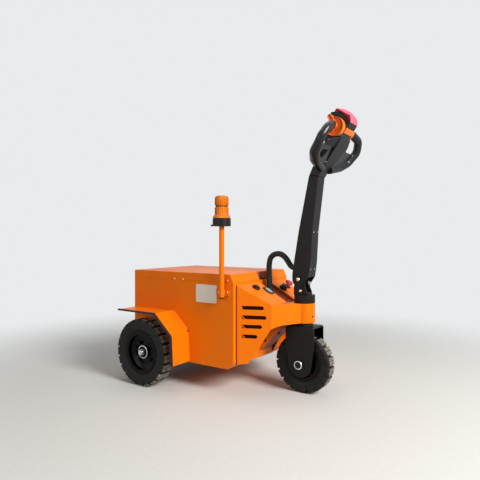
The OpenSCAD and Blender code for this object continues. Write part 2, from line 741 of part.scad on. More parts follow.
// Front lobe of a wing, seen from the side: a disc less another; rear lobe: a bar
wing_r = 42;
wing_mid = [4, -1];
hollow_r = 34;
hollow_mid = [-26, -12];
wing_boss_r = 16;
lobe_turn = 148;
lobe_l = 58;
lobe_h = 20;

// Centreline of one grip as the head's front shows it: y out, z up the head
grip_foot = 48;
grip_path = [[36, grip_foot], [130, 74], [184, 108], [grip_y, 176], [grip_y - 30, 224],
    [hub_end + 24, hub_z], [hub_end, hub_z]];
grip_bend = 36;
bend_steps = 5;
// The grips' middle lies this far ahead of the head's axis; their lower halves deepen into bowls
grip_x = 20;
bowl_x = 8;
bowl_depth = 62;
bowl_top = 150;
// The web that closes the lower part of a loop
web_n = 13;
web_t = 8;
web_top = 156;
// Thumb guards beside the face: where they start, how far they lean back, and their outline out
// from the head's side
guard_n = 29;
guard_turn = 17;
guard_t = 6;
guard_half = [[0, 168], [35, 137], [71, 144], [68, 179], [28, 200], [0, 214]];

// The points of an arc that rounds the corner i of a flat path, and the path with all its corners so
function corner_arc(path, i, bend) =
    let (a = unit(path[i] - path[i - 1]), b = unit(path[i + 1] - path[i]),
         turn = atan2(a[0] * b[1] - a[1] * b[0], a * b), side = sign(turn),
         start = path[i] - a * bend * tan(abs(turn) / 2), mid = start + left_of(a) * bend * side,
         first = atan2(a[1], a[0]) - 90 * side)
    [for (k = [0 : bend_steps]) let (w = first + turn * k / bend_steps)
        mid + bend * [cos(w), sin(w)]];
function rounded_path(path, bend) = concat([path[0]],
    [for (i = [1 : len(path) - 2]) each corner_arc(path, i, bend)], [path[len(path) - 1]]);

// The way a path runs at its point i
function heading(path, i) = unit(path[min(i + 1, len(path) - 1)] - path[max(i - 1, 0)]);

// How far a grip has gone over to its bowl at the height z, and where its middle lies at the point p
function bowl_share(z) = max(0, (bowl_top - z) / (bowl_top - grip_foot));
function grip_middle(p) = p[1] > grip_path[3][1]
    ? hub_n + (grip_x - hub_n) * (p[0] - hub_end) / (grip_y - hub_end)
    : grip_x + (bowl_x - grip_x) * bowl_share(p[1]);

// A tube of oval section swept along a path that lies flat in x and y; its width along z and the
// middle of that width are given for each point
module swept_tube(path, across, middle, thick, sides) {
    last = len(path) - 1;
    points = [for (i = [0 : last]) for (j = [0 : sides - 1])
        let (out = left_of(heading(path, i)) * thick / 2 * cos(360 * j / sides))
        [path[i][0] + out[0], path[i][1] + out[1], middle[i] + across[i] / 2 * sin(360 * j / sides)]];
    faces = concat(
        [[for (j = [0 : sides - 1]) j]],
        [for (i = [0 : last - 1]) for (j = [0 : sides - 1])
            let (n = (j + 1) % sides, k = i * sides)
            each [[k + j, k + sides + j, k + sides + n], [k + j, k + sides + n, k + n]]],
        [[for (j = [sides - 1 : -1 : 0]) last * sides + j]]);
    polyhedron(points, faces);
}

module grips() color("#1E1C1B") from_head() difference() {
    both_sides() {
        route = rounded_path(grip_path, grip_bend);
        rotate([90, 0, 90]) swept_tube(route,
            [for (p = route) grip_d + (bowl_depth - grip_d) * bowl_share(p[1])],
            [for (p = route) grip_middle(p)], grip_d, 16);
        head_slab(web_n, web_n + web_t) polygon([grip_path[0], grip_path[1], grip_path[2],
            [grip_y - 14, web_top], [head_y, web_top]]);
        translate([guard_n, head_y, 0]) rotate([0, 0, guard_turn])
            head_slab(-guard_t, 0) polygon(guard_half);
    }
    head_slab(-head_deep, head_deep) head_outline();
}

module throttle() color("#F08A20") from_head() both_sides() {
    translate([hub_n, head_y, hub_z]) rotate([-90, 0, 0]) cylinder(d = 26, h = hub_end - head_y);
    side_plate(wing_y[0], wing_y[1]) translate([hub_n, hub_z]) {
        difference() {
            translate(wing_mid) circle(r = wing_r);
            translate(hollow_mid) circle(r = hollow_r);
        }
        circle(r = wing_boss_r);
        rotate(lobe_turn) round_bar(lobe_l, lobe_h);
    }
}

// The reverse button lies on its bed, arched along the head and domed across it
dome_r = 66;
module reverse_button() color(signal_red) from_head() intersection() {
    side_plate(-crown_y, crown_y) intersection() {
        translate(crown_mid) circle(r = crown_r, $fn = fine);
        polygon(concat(button_bed,
            [[button_bed[5][0], 2 * head_top_z], [button_bed[0][0], 2 * head_top_z]]));
    }
    head_slab(-head_deep, head_deep) translate([0, crown_mid[1] + crown_r - dome_r])
        circle(r = dome_r, $fn = fine);
}

// A wide button on the face under the block
horn_w = 100;
horn_h = 25;
horn_t = 4;
horn_z = 231;
module horn_button() color("#F08A20") from_head() translate([face_n, -horn_w / 2, horn_z])
    cube([horn_t, horn_w, horn_h]);

// The pole's place, and the plate that carries it on the hull
pole_x = hull_front - 52;
bracket_x = pole_x - 46;
// The lens's two tiers: radius of each, height of the groove between them, rounding of the top edge
lens_low_r = 32;
lens_top_r = 29;
lens_mid = 54;
lens_edge = 9;
pole_y = -hull_w / 2 - 9 - pole_d / 2;
bracket_t = 4;
module beacon_bracket() color(orange_paint) from_rear_axle() difference() {
    union() {
        translate([bracket_x, -hull_w / 2 - bracket_t, 464]) cube([76, bracket_t, 30]);
        translate([pole_x - 6, pole_y, 466]) cube([12, -hull_w / 2 - pole_y, 26]);
    }
    translate([pole_x, pole_y, 0]) cylinder(d = pole_d + 2 * seat_gap, h = pole_top);
}

module beacon_pole() color(orange_paint) from_rear_axle() translate([pole_x, pole_y, pole_foot])
    cylinder(d = pole_d, h = pole_top - pole_foot);
module beacon_base() color(black_paint) from_rear_axle() translate([pole_x, pole_y, pole_top])
    cylinder(d = beacon_d, h = beacon_base_h);
module beacon_lens() color(amber) from_rear_axle()
    translate([pole_x, pole_y, pole_top + beacon_base_h]) rotate_extrude() polygon(concat(
        [[0, 0], [beacon_d / 2, 0], [beacon_d / 2, 6], [lens_low_r, 20], [lens_low_r - 1, lens_mid - 2],
            [lens_top_r - 2, lens_mid - 1], [lens_top_r - 2, lens_mid + 1]],
        [for (w = [0 : 30 : 90]) [lens_top_r - lens_edge + lens_edge * cos(w),
            lens_h - 1 - lens_edge + lens_edge * sin(w)]],
        [[0, lens_h]]));

// Places of the controls down the slope and across it, and their sizes
push_at = [37, -120];
push_d = 34;
meter_at = [66, -52];
meter_l = 60;
meter_w = 32;
key_at = [70, 86];
key_d = 40;
stop_at = [60, 150];
stop_d = 42;
stop_stem = 22;

module push_button() color("#1A1A1A") on_slope(push_at[0], push_at[1]) cylinder(d = push_d, h = 8);

module battery_meter() color("#1A1A1A") on_slope(meter_at[0], meter_at[1]) hull()
    for (side = [-1, 1]) translate([side * (meter_l - meter_w) / 2, 0, 0])
        cylinder(d = meter_w, h = 5, $fn = 32);

module key_switch() color("#1A1A1A") on_slope(key_at[0], key_at[1]) {
    cylinder(d = key_d, h = 14);
    cylinder(d = key_d - 12, h = 24);
}

module stop_button() color(signal_red) on_slope(stop_at[0], stop_at[1]) {
    cylinder(d = stop_d - 12, h = stop_stem);
    translate([0, 0, stop_stem]) cylinder(d = stop_d, h = 16);
}

module hitch_plate() color(black_paint) from_rear_axle()
    translate([-hull_back - hitch_t, 0, hitch_z]) difference() {
        translate([0, -hitch_w / 2, -hitch_h / 2]) cube([hitch_t, hitch_w, hitch_h]);
        for (y = [-1, 1], z = [-1, 1])
            translate([-1, y * hitch_pitch_y / 2, z * hitch_pitch_z / 2]) rotate([0, 90, 0])
                cylinder(d = hitch_hole_d, h = hitch_t + 2);
    }

jaw_h = 70;
jaw_w = 70;
jaw_t = 14;
module hitch_jaw() color(black_paint) from_rear_axle()
    translate([-hull_back - hitch_t, 0, hitch_z - 20]) difference() {
        translate([-jaw_reach, -jaw_w / 2, -jaw_h / 2]) cube([jaw_reach, jaw_w, jaw_h]);
        translate([-jaw_reach - 1, -jaw_w, -jaw_h / 2 + jaw_t])
            cube([jaw_reach - jaw_t + 1, 2 * jaw_w, jaw_h - 2 * jaw_t]);
        translate([-jaw_reach + 32, 0, -jaw_h]) cylinder(d = drop_pin_d + 1, h = 2 * jaw_h);
    }

module hitch_pin() color(chrome_tone) from_rear_axle()
    translate([-hull_back - hitch_t - jaw_reach + 32, 0, hitch_z - 20 - jaw_h / 2 - 10]) {
        cylinder(d = drop_pin_d, h = jaw_h + 20);
        translate([0, 0, jaw_h + 10]) cylinder(d = drop_pin_d + 14, h = 10);
        translate([0, 0, jaw_h + 20]) cylinder(d = drop_pin_d, h = 26);
    }

// Route of the cable sleeve: it rises from the console's channel and comes down behind the column
hose_route = concat(
    [for (p = [[50, -43], [43, -14], [39, 46], [40, 86], [47, 118], [64, 136]])
        [hull_front, console_top] + p],
    [for (p = [[-135, 120], [-111, 115], [-89, 98], [-73, 76], [-60, 60], [-46.6, 53.5], [-30.8, 51]])
        [pivot_x, pivot_z] + p]);
hose_w = 29;
hose_t = 18;
module hose() color("#1B1918") from_rear_axle() rotate([90, 0, 0])
    swept_tube(hose_route, [for (p = hose_route) hose_w], [for (p = hose_route) 0], hose_t, 12);

body_tub();
lid();
lid_hinge();
bow_housing();
console();
arch_liner();
steering_head();
mudguard_right();
mudguard_left();
edging_right();
edging_left();
battery();
drive_axle();
drive_motor();
beacon_bracket();
beacon_pole();
beacon_base();
beacon_lens();
push_button();
battery_meter();
key_switch();
stop_button();
hitch_plate();
hitch_jaw();
hitch_pin();
tyre_right();
rim_right();
hub_right();
tyre_left();
rim_left();
hub_left();
fork();
swivel_cap();
tiller_lug();
front_axle();
tyre_front();
rim_front();
column();
head_housing();
grips();
throttle();
reverse_button();
horn_button();
hose();
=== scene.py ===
"""Looks of a walk-behind electric tow tractor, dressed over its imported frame."""

import json
import math

import bmesh
import bpy
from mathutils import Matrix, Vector


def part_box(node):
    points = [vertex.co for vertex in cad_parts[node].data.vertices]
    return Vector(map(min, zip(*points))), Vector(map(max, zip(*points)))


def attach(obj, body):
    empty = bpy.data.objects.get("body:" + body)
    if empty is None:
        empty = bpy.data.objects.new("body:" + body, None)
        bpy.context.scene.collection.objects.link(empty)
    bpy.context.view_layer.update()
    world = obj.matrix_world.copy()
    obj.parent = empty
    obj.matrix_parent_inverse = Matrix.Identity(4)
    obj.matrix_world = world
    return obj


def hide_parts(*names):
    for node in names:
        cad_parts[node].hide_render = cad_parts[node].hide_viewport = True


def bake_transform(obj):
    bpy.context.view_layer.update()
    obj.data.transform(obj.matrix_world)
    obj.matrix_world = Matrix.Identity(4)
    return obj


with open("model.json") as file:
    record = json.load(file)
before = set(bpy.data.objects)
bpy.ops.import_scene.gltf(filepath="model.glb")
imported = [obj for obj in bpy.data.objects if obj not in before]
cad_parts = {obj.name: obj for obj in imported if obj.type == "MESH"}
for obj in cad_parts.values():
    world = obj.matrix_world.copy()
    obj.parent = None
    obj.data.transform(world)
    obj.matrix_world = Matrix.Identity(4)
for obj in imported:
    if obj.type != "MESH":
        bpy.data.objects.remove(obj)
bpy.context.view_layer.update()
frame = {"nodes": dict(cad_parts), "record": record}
nodes = frame["nodes"]
record = frame["record"]
BODY_OF = {node: body for body, names in record["behaviour"]["bodies"].items() for node in names}

MM = 0.001

# Sizes of the machine in millimetres, as in the CAD; x is ahead of the rear axle
WHEELBASE = 713
REAR_WHEEL_Z, REAR_WHEEL_Y, REAR_TYRE_D, REAR_TYRE_W = 165, 351.5, 330, 79
FRONT_WHEEL_Z, FRONT_TYRE_D, FRONT_TYRE_W = 141, 282, 65
DISC_SHARE = 0.36
PIVOT_X, PIVOT_Z, COLUMN_LENGTH = 701, 537, 492
HULL_FRONT, HULL_SIDE, DECK_Z, SLOPE_DROP = 476, 255, 514, 88
CHEEK_RUN, CHEEK_BACK_Y, CHEEK_FRONT_Y = 153.5, 232.5, 168
POLE_X, POLE_Y = 424, -276
BATTERY_TOP = 422.6

# Places of the machine, read from the frame
REAR_LOW, REAR_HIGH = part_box("tyre_right")
FRONT_LOW, FRONT_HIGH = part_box("tyre_front")
REAR_AXLE = Vector(((REAR_LOW.x + REAR_HIGH.x) / 2, 0, (REAR_LOW.z + REAR_HIGH.z) / 2))
FRONT_AXLE = Vector(((FRONT_LOW.x + FRONT_HIGH.x) / 2, 0, (FRONT_LOW.z + FRONT_HIGH.z) / 2))


def at(x, y, z):
    """A place in the frame from millimetres ahead of the rear axle, to the left and up."""
    return Vector((REAR_AXLE.x + x * MM, y * MM, z * MM))


# Leans of head, column and slope, the turn of the bow's cheeks, the pivot and the head's foot
HEAD_LEAN = math.radians(34)
COLUMN_LEAN = math.radians(9)
SLOPE = math.atan(SLOPE_DROP / CHEEK_RUN)
CHEEK_TURN = math.atan((CHEEK_BACK_Y - CHEEK_FRONT_Y) / CHEEK_RUN)
PIVOT = at(PIVOT_X, 0, PIVOT_Z)
COLUMN_UP = Vector((math.sin(COLUMN_LEAN), 0, math.cos(COLUMN_LEAN)))
COLUMN_OUT = Vector((math.cos(COLUMN_LEAN), 0, -math.sin(COLUMN_LEAN)))
HEAD_BASE = PIVOT + COLUMN_UP * COLUMN_LENGTH * MM
HEAD_OUT = Vector((math.cos(HEAD_LEAN), 0, -math.sin(HEAD_LEAN)))
HEAD_UP = Vector((math.sin(HEAD_LEAN), 0, math.cos(HEAD_LEAN)))
SLOPE_OUT = Vector((math.sin(SLOPE), 0, math.cos(SLOPE)))
SLOPE_DOWN = Vector((math.cos(SLOPE), 0, -math.sin(SLOPE)))
RIGHT, LEFT, AHEAD, UP, DOWN = (0, -1, 0), (0, 1, 0), (1, 0, 0), (0, 0, 1), (0, 0, -1)


def on_head(out, y, up):
    """A place on the tiller's head from millimetres out of its face, to the left and up it."""
    return HEAD_BASE + HEAD_OUT * out * MM + HEAD_UP * up * MM + Vector((0, y * MM, 0))


def on_slope(x, y, out=0.0):
    """A place on the console's slope from millimetres ahead of the hull, to the left and out."""
    return at(HULL_FRONT + x, y, DECK_Z - x * math.tan(SLOPE)) + SLOPE_OUT * out * MM


# Places on the machine where small pieces sit together
BUTTON_AT, METER_AT, STOP_AT = (37, -120), (66, -52), (60, 150)
THROTTLE_HUB, HORN_AT = on_head(-18, 0, 238), on_head(22, 0, 243)
PLATE_X, PLATE_Z, PLATE_L, PLATE_H = 315, 467, 126, 87


# Camera, in metres from the front axle and the middle, and its lens

EYE_AHEAD, EYE_SIDE, EYE_HEIGHT, EYE_TURN = 0.990, -1.9893, 0.7251, math.radians(34.4638)
LENS_MM, SENSOR_MM = 34.466, 36.0

# The sleeve's route in millimetres ahead of the rear axle and up, as in the CAD, and its section
HOSE_ROUTE = [(526, 471), (519, 500), (515, 560), (516, 600), (523, 632), (540, 650), (566, 657),
              (590, 652), (612, 635), (628, 613), (641, 597), (654.4, 590.5), (670.2, 588)]
SLEEVE_W, SLEEVE_T, SLEEVE_STEP, SLEEVE_TWIST = 28.4, 18.0, 4.0, math.radians(50)


def camera():
    """The photograph's camera: level, at chest height, seeing the front right corner."""
    bpy.ops.object.camera_add(location=(FRONT_AXLE.x + EYE_AHEAD, EYE_SIDE, EYE_HEIGHT),
                              rotation=(math.pi / 2, 0, EYE_TURN))
    eye = bpy.context.object
    eye.name = "photo_camera"
    eye.data.lens = LENS_MM
    eye.data.sensor_width = SENSOR_MM
    bpy.context.scene.camera = eye


def sleeve(name, route, twists):
    """One stretch of the flat cable sleeve: a curve with an oval profile, turned into a mesh."""
    bpy.ops.object.select_all(action="DESELECT")
    bpy.ops.curve.primitive_bezier_circle_add(radius=1.0)
    oval = bpy.context.object
    oval.scale = (SLEEVE_T / 2 * MM, SLEEVE_W / 2 * MM, 1.0)
    bpy.ops.object.transform_apply(scale=True)
    bpy.ops.curve.primitive_nurbs_path_add()
    line = bpy.context.object
    line.data.splines.clear()
    spline = line.data.splines.new("POLY")
    spline.points.add(len(route) - 1)
    for point, place, twist in zip(spline.points, route, twists):
        point.co = (*place, 1.0)
        point.tilt = twist
    line.data.bevel_mode = "OBJECT"
    line.data.bevel_object = oval
    line.data.use_fill_caps = True
    bpy.ops.object.convert(target="MESH")
    tube = bpy.context.object
    bpy.data.objects.remove(oval, do_unlink=True)
    tube.name = name
    tube.data.name = name
    bpy.ops.object.mode_set(mode="EDIT")
    bpy.ops.mesh.select_all(action="SELECT")
    bpy.ops.mesh.remove_doubles(threshold=0.02 * MM)
    bpy.ops.mesh.normals_make_consistent(inside=False)
    bpy.ops.object.mode_set(mode="OBJECT")
    bpy.ops.object.shade_smooth_by_angle(angle=math.radians(40))
    return tube


def along(points, step_mm):
    """Points a few millimetres apart on a smooth line through a row of points."""
    line = [Vector(p) for p in points]
    line = [2 * line[0] - line[1], *line, 2 * line[-1] - line[-2]]
    fine = []
    for a, b, c, d in zip(line, line[1:], line[2:], line[3:]):
        steps = max(2, round((c - b).length / (step_mm * MM)))
        for n in range(steps):
            t = n / steps
            fine.append(0.5 * ((2 * b) + (c - a) * t + (2 * a - 5 * b + 4 * c - d) * t ** 2
                               + (3 * b - a - 3 * c + d) * t ** 3))
    fine.append(line[-2])
    return fine


def measured(points):
    """The length along a row of points."""
    return sum((b - a).length for a, b in zip(points, points[1:]))


def cable_sleeve():
    """The braided sleeve from the console to the column, in two stretches that meet at mid-length."""
    route = along([at(x, 0, z) for x, z in HOSE_ROUTE], SLEEVE_STEP)
    half = next(n for n in range(len(route)) if measured(route[:n + 1]) >= measured(route) / 2)
    twists = [SLEEVE_TWIST * math.cos(math.pi * n / (len(route) - 1)) for n in range(len(route))]
    tubes = []
    for name, part, turns, first, second in (
            ("sleeve_lower", route[:half + 1], twists[:half + 1], "chassis", "steering"),
            ("sleeve_upper", route[half:], twists[half:], "steering", "tiller")):
        tube = sleeve(name, part, turns)
        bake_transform(tube)
        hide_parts("hose")
        tubes.append(tube)
    return tubes


camera()
SLEEVES = cable_sleeve()

# Materials

# A colour Mix node's two colours by place among its inputs, and its colour among its outputs
MIX_A, MIX_B, MIX_RESULT = 6, 7, 2
# Flutes round the beacon's lens
FLUTES, FLUTE_DEPTH = 40, 0.8


def linear(hex_colour):
    """An sRGB hex colour as linear RGBA."""
    channels = [int(hex_colour[i : i + 2], 16) / 255 for i in (1, 3, 5)]
    lin = [c / 12.92 if c <= 0.04045 else ((c + 0.055) / 1.055) ** 2.4 for c in channels]
    return (*lin, 1.0)


def put(material, kind, settings=None, links=None):
    """Adds a node to a material, with its settings, and links its inputs to other nodes' outputs."""
    tree = material.node_tree
    node = tree.nodes.new(kind)
    for name, value in (settings or {}).items():
        if name in node.inputs:
            node.inputs[name].default_value = value
        else:
            setattr(node, name, value)
    for name, (source, output) in (links or {}).items():
        tree.links.new(source.outputs[output], node.inputs[name])
    return node


def blank_material(name):
    """A material with no nodes yet."""
    material = bpy.data.materials.new(name)
    material.use_nodes = True
    material.node_tree.nodes.clear()
    return material


def two_tones(material, factor, first, second):
    """A colour between two tones, by a factor that is a node with its output's name."""
    tone = put(material, "ShaderNodeMix", {"data_type": "RGBA"}, {"Factor": factor})
    tone.inputs[MIX_A].default_value = linear(first)
    tone.inputs[MIX_B].default_value = linear(second)
    return tone


def finish_material(material, shader):
    """Links a shader to the material's surface."""
    put(material, "ShaderNodeOutputMaterial", links={"Surface": (shader, "BSDF")})
    return material


def grained(name, light, dark, grain_mm, bump_mm, roughness, settings=None, patch_mm=90.0):
    """A surface whose colour drifts between two tones over a patch and whose grain is a fine bump."""
    material = blank_material(name)
    place = put(material, "ShaderNodeTexCoord")
    patch = put(material, "ShaderNodeTexNoise", {"Scale": 1 / (patch_mm * MM), "Detail": 3.0},
                {"Vector": (place, "Object")})
    tone = two_tones(material, (patch, "Fac"), light, dark)
    grain = put(material, "ShaderNodeTexNoise", {"Scale": 1 / (grain_mm * MM), "Detail": 2.0},
                {"Vector": (place, "Object")})
    wear = put(material, "ShaderNodeMapRange",
               {"To Min": roughness - 0.05, "To Max": roughness + 0.06}, {"Value": (patch, "Fac")})
    bump = put(material, "ShaderNodeBump", {"Strength": 0.5, "Distance": bump_mm * MM},
               {"Height": (grain, "Fac")})
    shader = put(material, "ShaderNodeBsdfPrincipled", settings,
                 {"Roughness": (wear, "Result"), "Normal": (bump, "Normal"),
                  "Base Color": (tone, MIX_RESULT)})
    return finish_material(material, shader)


# Orange polyester powder coat on steel: a smooth, slightly rippled skin with a clear sheen
POWDER_ORANGE = grained("powder_coat_orange", "#F27A08", "#EA7204", 3.0, 0.04, 0.36,
                        {"Specular IOR Level": 0.12})
# Black powder coat on steel: finely textured, satin
POWDER_BLACK = grained("powder_coat_black", "#1C1919", "#151212", 1.6, 0.06, 0.42,
                       {"Specular IOR Level": 0.16})
# Black stoving enamel on the pressed rims: deep gloss
ENAMEL_BLACK = grained("stoving_enamel_black", "#08080A", "#050506", 4.0, 0.02, 0.16,
                       {"Specular IOR Level": 0.13})
# Solid rubber of the tyres' sides: matt charcoal
TYRE_RUBBER = grained("tyre_rubber", "#23211F", "#181615", 2.4, 0.12, 0.66,
                      {"Specular IOR Level": 0.2})
# The lugs' running faces: scuffed by the floor and grey-brown with its dust, and lighter still as
# painted light where the lamps catch the lugs
TYRE_SCUFF_AND_LIGHT = grained("tyre_rubber_scuffed_painted_light", "#99938A", "#3D3935", 5.0, 0.3, 0.8,
                       {"Specular IOR Level": 0.3}, patch_mm=14.0)
# Extruded rubber edging: even black, soft sheen
EDGE_RUBBER = grained("edging_rubber", "#161515", "#100F0F", 2.0, 0.05, 0.5,
                      {"Specular IOR Level": 0.35})
# Bright chrome plate on turned steel
CHROME = grained("chrome_plate", "#DADCDE", "#CFD2D4", 2.0, 0.01, 0.12, {"Metallic": 1.0})
# Zinc plate on small screws: bright, slightly milky
ZINC = grained("zinc_plate", "#D8D4C4", "#BDB8A8", 1.2, 0.02, 0.3, {"Metallic": 1.0})
# Black oxide on high-strength bolts: dark, oily sheen
BLACK_OXIDE = grained("black_oxide_steel", "#2B2B2D", "#1E1E20", 1.5, 0.03, 0.32, {"Metallic": 0.7})
# Painted cast iron of the drive: rough from the mould
CAST_IRON = grained("cast_iron_painted", "#34363A", "#26282B", 2.0, 0.25, 0.6)
# Moulded polypropylene battery case: dull grey
BATTERY_CASE = grained("polypropylene_grey", "#4A4D52", "#3F4246", 2.0, 0.08, 0.55)
# Moulded ABS: spark-eroded black texture
ABS_BLACK = grained("moulded_abs_black", "#1E1C1C", "#161515", 1.2, 0.05, 0.42,
                    {"Specular IOR Level": 0.2})
# Soft-touch moulding over the grips: satin, with broad soft highlights
GRIP_RUBBER = grained("soft_touch_grip", "#191819", "#121112", 1.4, 0.02, 0.3,
                      {"Specular IOR Level": 0.34})
# Moulded acetal of the throttle wings: even, waxy orange
ACETAL_ORANGE = grained("moulded_acetal_orange", "#F5811A", "#EC700C", 3.0, 0.01, 0.36,
                        {"Specular IOR Level": 0.25})
# Deep bed of the throttle's thumb wing: the same acetal with painted shade, redder as if light only
# reached it bounced
ACETAL_BED_SHADE = grained("moulded_acetal_bed_painted_shade", "#EC6614", "#E25A0E", 3.0, 0.01, 0.42,
                     {"Specular IOR Level": 0.2})
# Black void: painted shade for a recess or hole with no light in it, on the near bowl's pane and the
# liner's hole plug
SHADE_BLACK = grained("unlit_painted_shade", "#070707", "#030303", 3.0, 0.01, 0.6,
                     {"Specular IOR Level": 0.05})
# Moulded red of the reverse button, pinkish on top
RED_PLASTIC = grained("moulded_plastic_pink_red", "#F26A84", "#E0506C", 3.0, 0.02, 0.34,
                      {"Specular IOR Level": 0.25})
# Moulded signal red of the stop button's mushroom head
STOP_RED = grained("moulded_plastic_signal_red", "#C81E34", "#AE1428", 3.0, 0.02, 0.3,
                   {"Specular IOR Level": 0.3})
# Orange powder coat deep in the console's channel and the lid's notch, and on the arch liner's faces
# that look down: duller, and darkened to brown as painted shade
POWDER_SHADE = grained("powder_coat_painted_shade", "#A9573A", "#8E452B", 5.0, 0.04, 0.5,
                      {"Specular IOR Level": 0.15})
# Orange paint behind the louvre slots and in the folds, never lit: painted shade of dark reddish
# brown, also used in the beacon lens's groove
SHADE_INSIDE = grained("painted_shade_inside", "#4C1709", "#300E06", 8.0, 0.05, 0.7,
                      {"Specular IOR Level": 0.1})
# Flanks of the reverse button: its red darkened as painted shade on the sides that turn away from the
# light
RED_SHADED = grained("moulded_plastic_red_flank_painted_shade", "#8E1A2C", "#7A1424", 3.0, 0.02, 0.45,
                     {"Specular IOR Level": 0.2})
# Tinted acrylic window of the battery meter: blue-grey, glossy
METER_WINDOW = grained("meter_window_acrylic", "#7E93AA", "#56697E", 9.0, 0.01, 0.12)
# Anodised aluminium of the blank rating plate: pale, fine grain
PLATE_ALUMINIUM = grained("anodised_aluminium", "#E4DECF", "#CFC9BA", 0.8, 0.02, 0.42,
                          {"Metallic": 0.15})
# Braided polyester sleeve round the cables: matt black, ribbed by its braid
BRAID = grained("braided_polyester", "#1B1917", "#0D0C0C", 1.8, 0.3, 0.6, {"Specular IOR Level": 0.3})


def fluted_amber(low, high):
    """Amber polycarbonate of the beacon, fluted, with painted shade: bright where it faces the eye,
    brown where it turns away.
    """
    material = blank_material("fluted_amber_polycarbonate")
    place = put(material, "ShaderNodeTexCoord")
    middle = put(material, "ShaderNodeMapping",
                 {"Location": (-(low.x + high.x) / 2, -(low.y + high.y) / 2, 0)},
                 {"Vector": (place, "Object")})
    around = put(material, "ShaderNodeTexGradient", {"gradient_type": "RADIAL"},
                 {"Vector": (middle, "Vector")})
    turn = put(material, "ShaderNodeMath", {"operation": "MULTIPLY"}, {"Value": (around, "Fac")})
    turn.inputs[1].default_value = FLUTES * 2 * math.pi
    flute = put(material, "ShaderNodeMath", {"operation": "SINE"}, {"Value": (turn, "Value")})
    bump = put(material, "ShaderNodeBump", {"Strength": 0.6, "Distance": FLUTE_DEPTH * MM},
               {"Height": (flute, "Value")})
    edge = put(material, "ShaderNodeLayerWeight", {"Blend": 0.5}, {"Normal": (bump, "Normal")})
    # Painted shade: the colour darkens to brown as the surface turns away from the eye
    tone = two_tones(material, (edge, "Facing"), "#F8860E", "#8A3404")
    shader = put(material, "ShaderNodeBsdfPrincipled",
                 {"Roughness": 0.14, "Specular IOR Level": 0.3},
                 {"Normal": (bump, "Normal"), "Base Color": (tone, MIX_RESULT)})
    return finish_material(material, shader)


AMBER_LENS = fluted_amber(*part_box("beacon_lens"))

FINISH_OF = {
    POWDER_ORANGE: ["body_tub", "lid", "lid_hinge", "bow_housing", "console", "arch_liner",
                    "steering_head", "mudguard_right", "mudguard_left", "beacon_bracket",
                    "beacon_pole"],
    POWDER_BLACK: ["fork", "swivel_cap", "tiller_lug", "column", "hitch_plate", "hitch_jaw"],
    ENAMEL_BLACK: ["rim_right", "rim_left", "rim_front"],
    TYRE_RUBBER: ["tyre_right", "tyre_left", "tyre_front"],
    EDGE_RUBBER: ["edging_right", "edging_left"],
    CHROME: ["hub_right", "hub_left", "front_axle", "hitch_pin"],
    CAST_IRON: ["drive_axle", "drive_motor"],
    BATTERY_CASE: ["battery"],
    ABS_BLACK: ["beacon_base", "push_button", "battery_meter", "key_switch", "head_housing"],
    GRIP_RUBBER: ["grips"],
    ACETAL_ORANGE: ["throttle", "horn_button"],
    RED_PLASTIC: ["reverse_button"],
    STOP_RED: ["stop_button"],
    AMBER_LENS: ["beacon_lens"],
    BRAID: ["hose"],
}
for tube in SLEEVES:
    tube.data.materials.append(BRAID)
for finish, names in FINISH_OF.items():
    for name in names:
        nodes[name].data.materials.clear()
        nodes[name].data.materials.append(finish)

# Hand tools

# Edges turned by more than this stay sharp, and points nearer than this become one
SMOOTH_DEG = 38
MERGE = 0.02 * MM


def rest():
    """Leaves edit mode with nothing selected."""
    if bpy.context.mode != "OBJECT":
        bpy.ops.object.mode_set(mode="OBJECT")
    bpy.ops.object.select_all(action="DESELECT")


def hold(piece):
    """Selects one piece alone."""
    rest()
    piece.select_set(True)
    bpy.context.view_layer.objects.active = piece


def shape(piece):
    """Opens a piece in edit mode with nothing selected."""
    hold(piece)
    bpy.ops.object.mode_set(mode="EDIT")
    bpy.ops.mesh.select_all(action="DESELECT")


def pick_faces(test):
    """Selects, in edit mode, only the faces whose middle and normal pass a test."""
    bpy.ops.mesh.select_mode(type="FACE")
    mesh = bmesh.from_edit_mesh(bpy.context.edit_object.data)
    for face in mesh.faces:
        face.select_set(False)
    for face in mesh.faces:
        if test(face.calc_center_median(), face.normal):
            face.select_set(True)
    bmesh.update_edit_mesh(bpy.context.edit_object.data)


def pick_edges(test):
    """Selects, in edit mode, the edges whose two ends pass a test."""
    bpy.ops.mesh.select_mode(type="EDGE")
    mesh = bmesh.from_edit_mesh(bpy.context.edit_object.data)
    for edge in mesh.edges:
        if test(edge.verts[0].co, edge.verts[1].co):
            edge.select_set(True)
    bmesh.update_edit_mesh(bpy.context.edit_object.data)


def finish_with(piece, kind, **settings):
    """Adds a modifier to a piece and applies it."""
    hold(piece)
    modifier = piece.modifiers.new(kind.lower(), kind)
    for name, value in settings.items():
        setattr(modifier, name, value)
    bpy.ops.object.modifier_apply(modifier=modifier.name)


def shade(piece, from_deg=SMOOTH_DEG):
    """Shades a piece smooth over all edges but the sharp ones."""
    hold(piece)
    bpy.ops.object.shade_smooth_by_angle(angle=math.radians(from_deg))


def round_edges(piece, radius_mm, steps=2, from_deg=28):
    """Rounds a piece's sharp edges and shades it smooth over them."""
    finish_with(piece, "BEVEL", width=radius_mm * MM, segments=steps, limit_method="ANGLE",
                angle_limit=math.radians(from_deg), use_clamp_overlap=False)
    shade(piece)
    finish_with(piece, "WEIGHTED_NORMAL", keep_sharp=True)


def fit(piece, name, finish, body):
    """Applies a piece's place, names it, gives it its finish and lets it ride on its body."""
    hold(piece)
    bpy.ops.object.transform_apply(location=True, rotation=True, scale=True)
    piece.name = name
    piece.data.name = name
    if finish is not None:
        piece.data.materials.clear()
        piece.data.materials.append(finish)
    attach(piece, body)


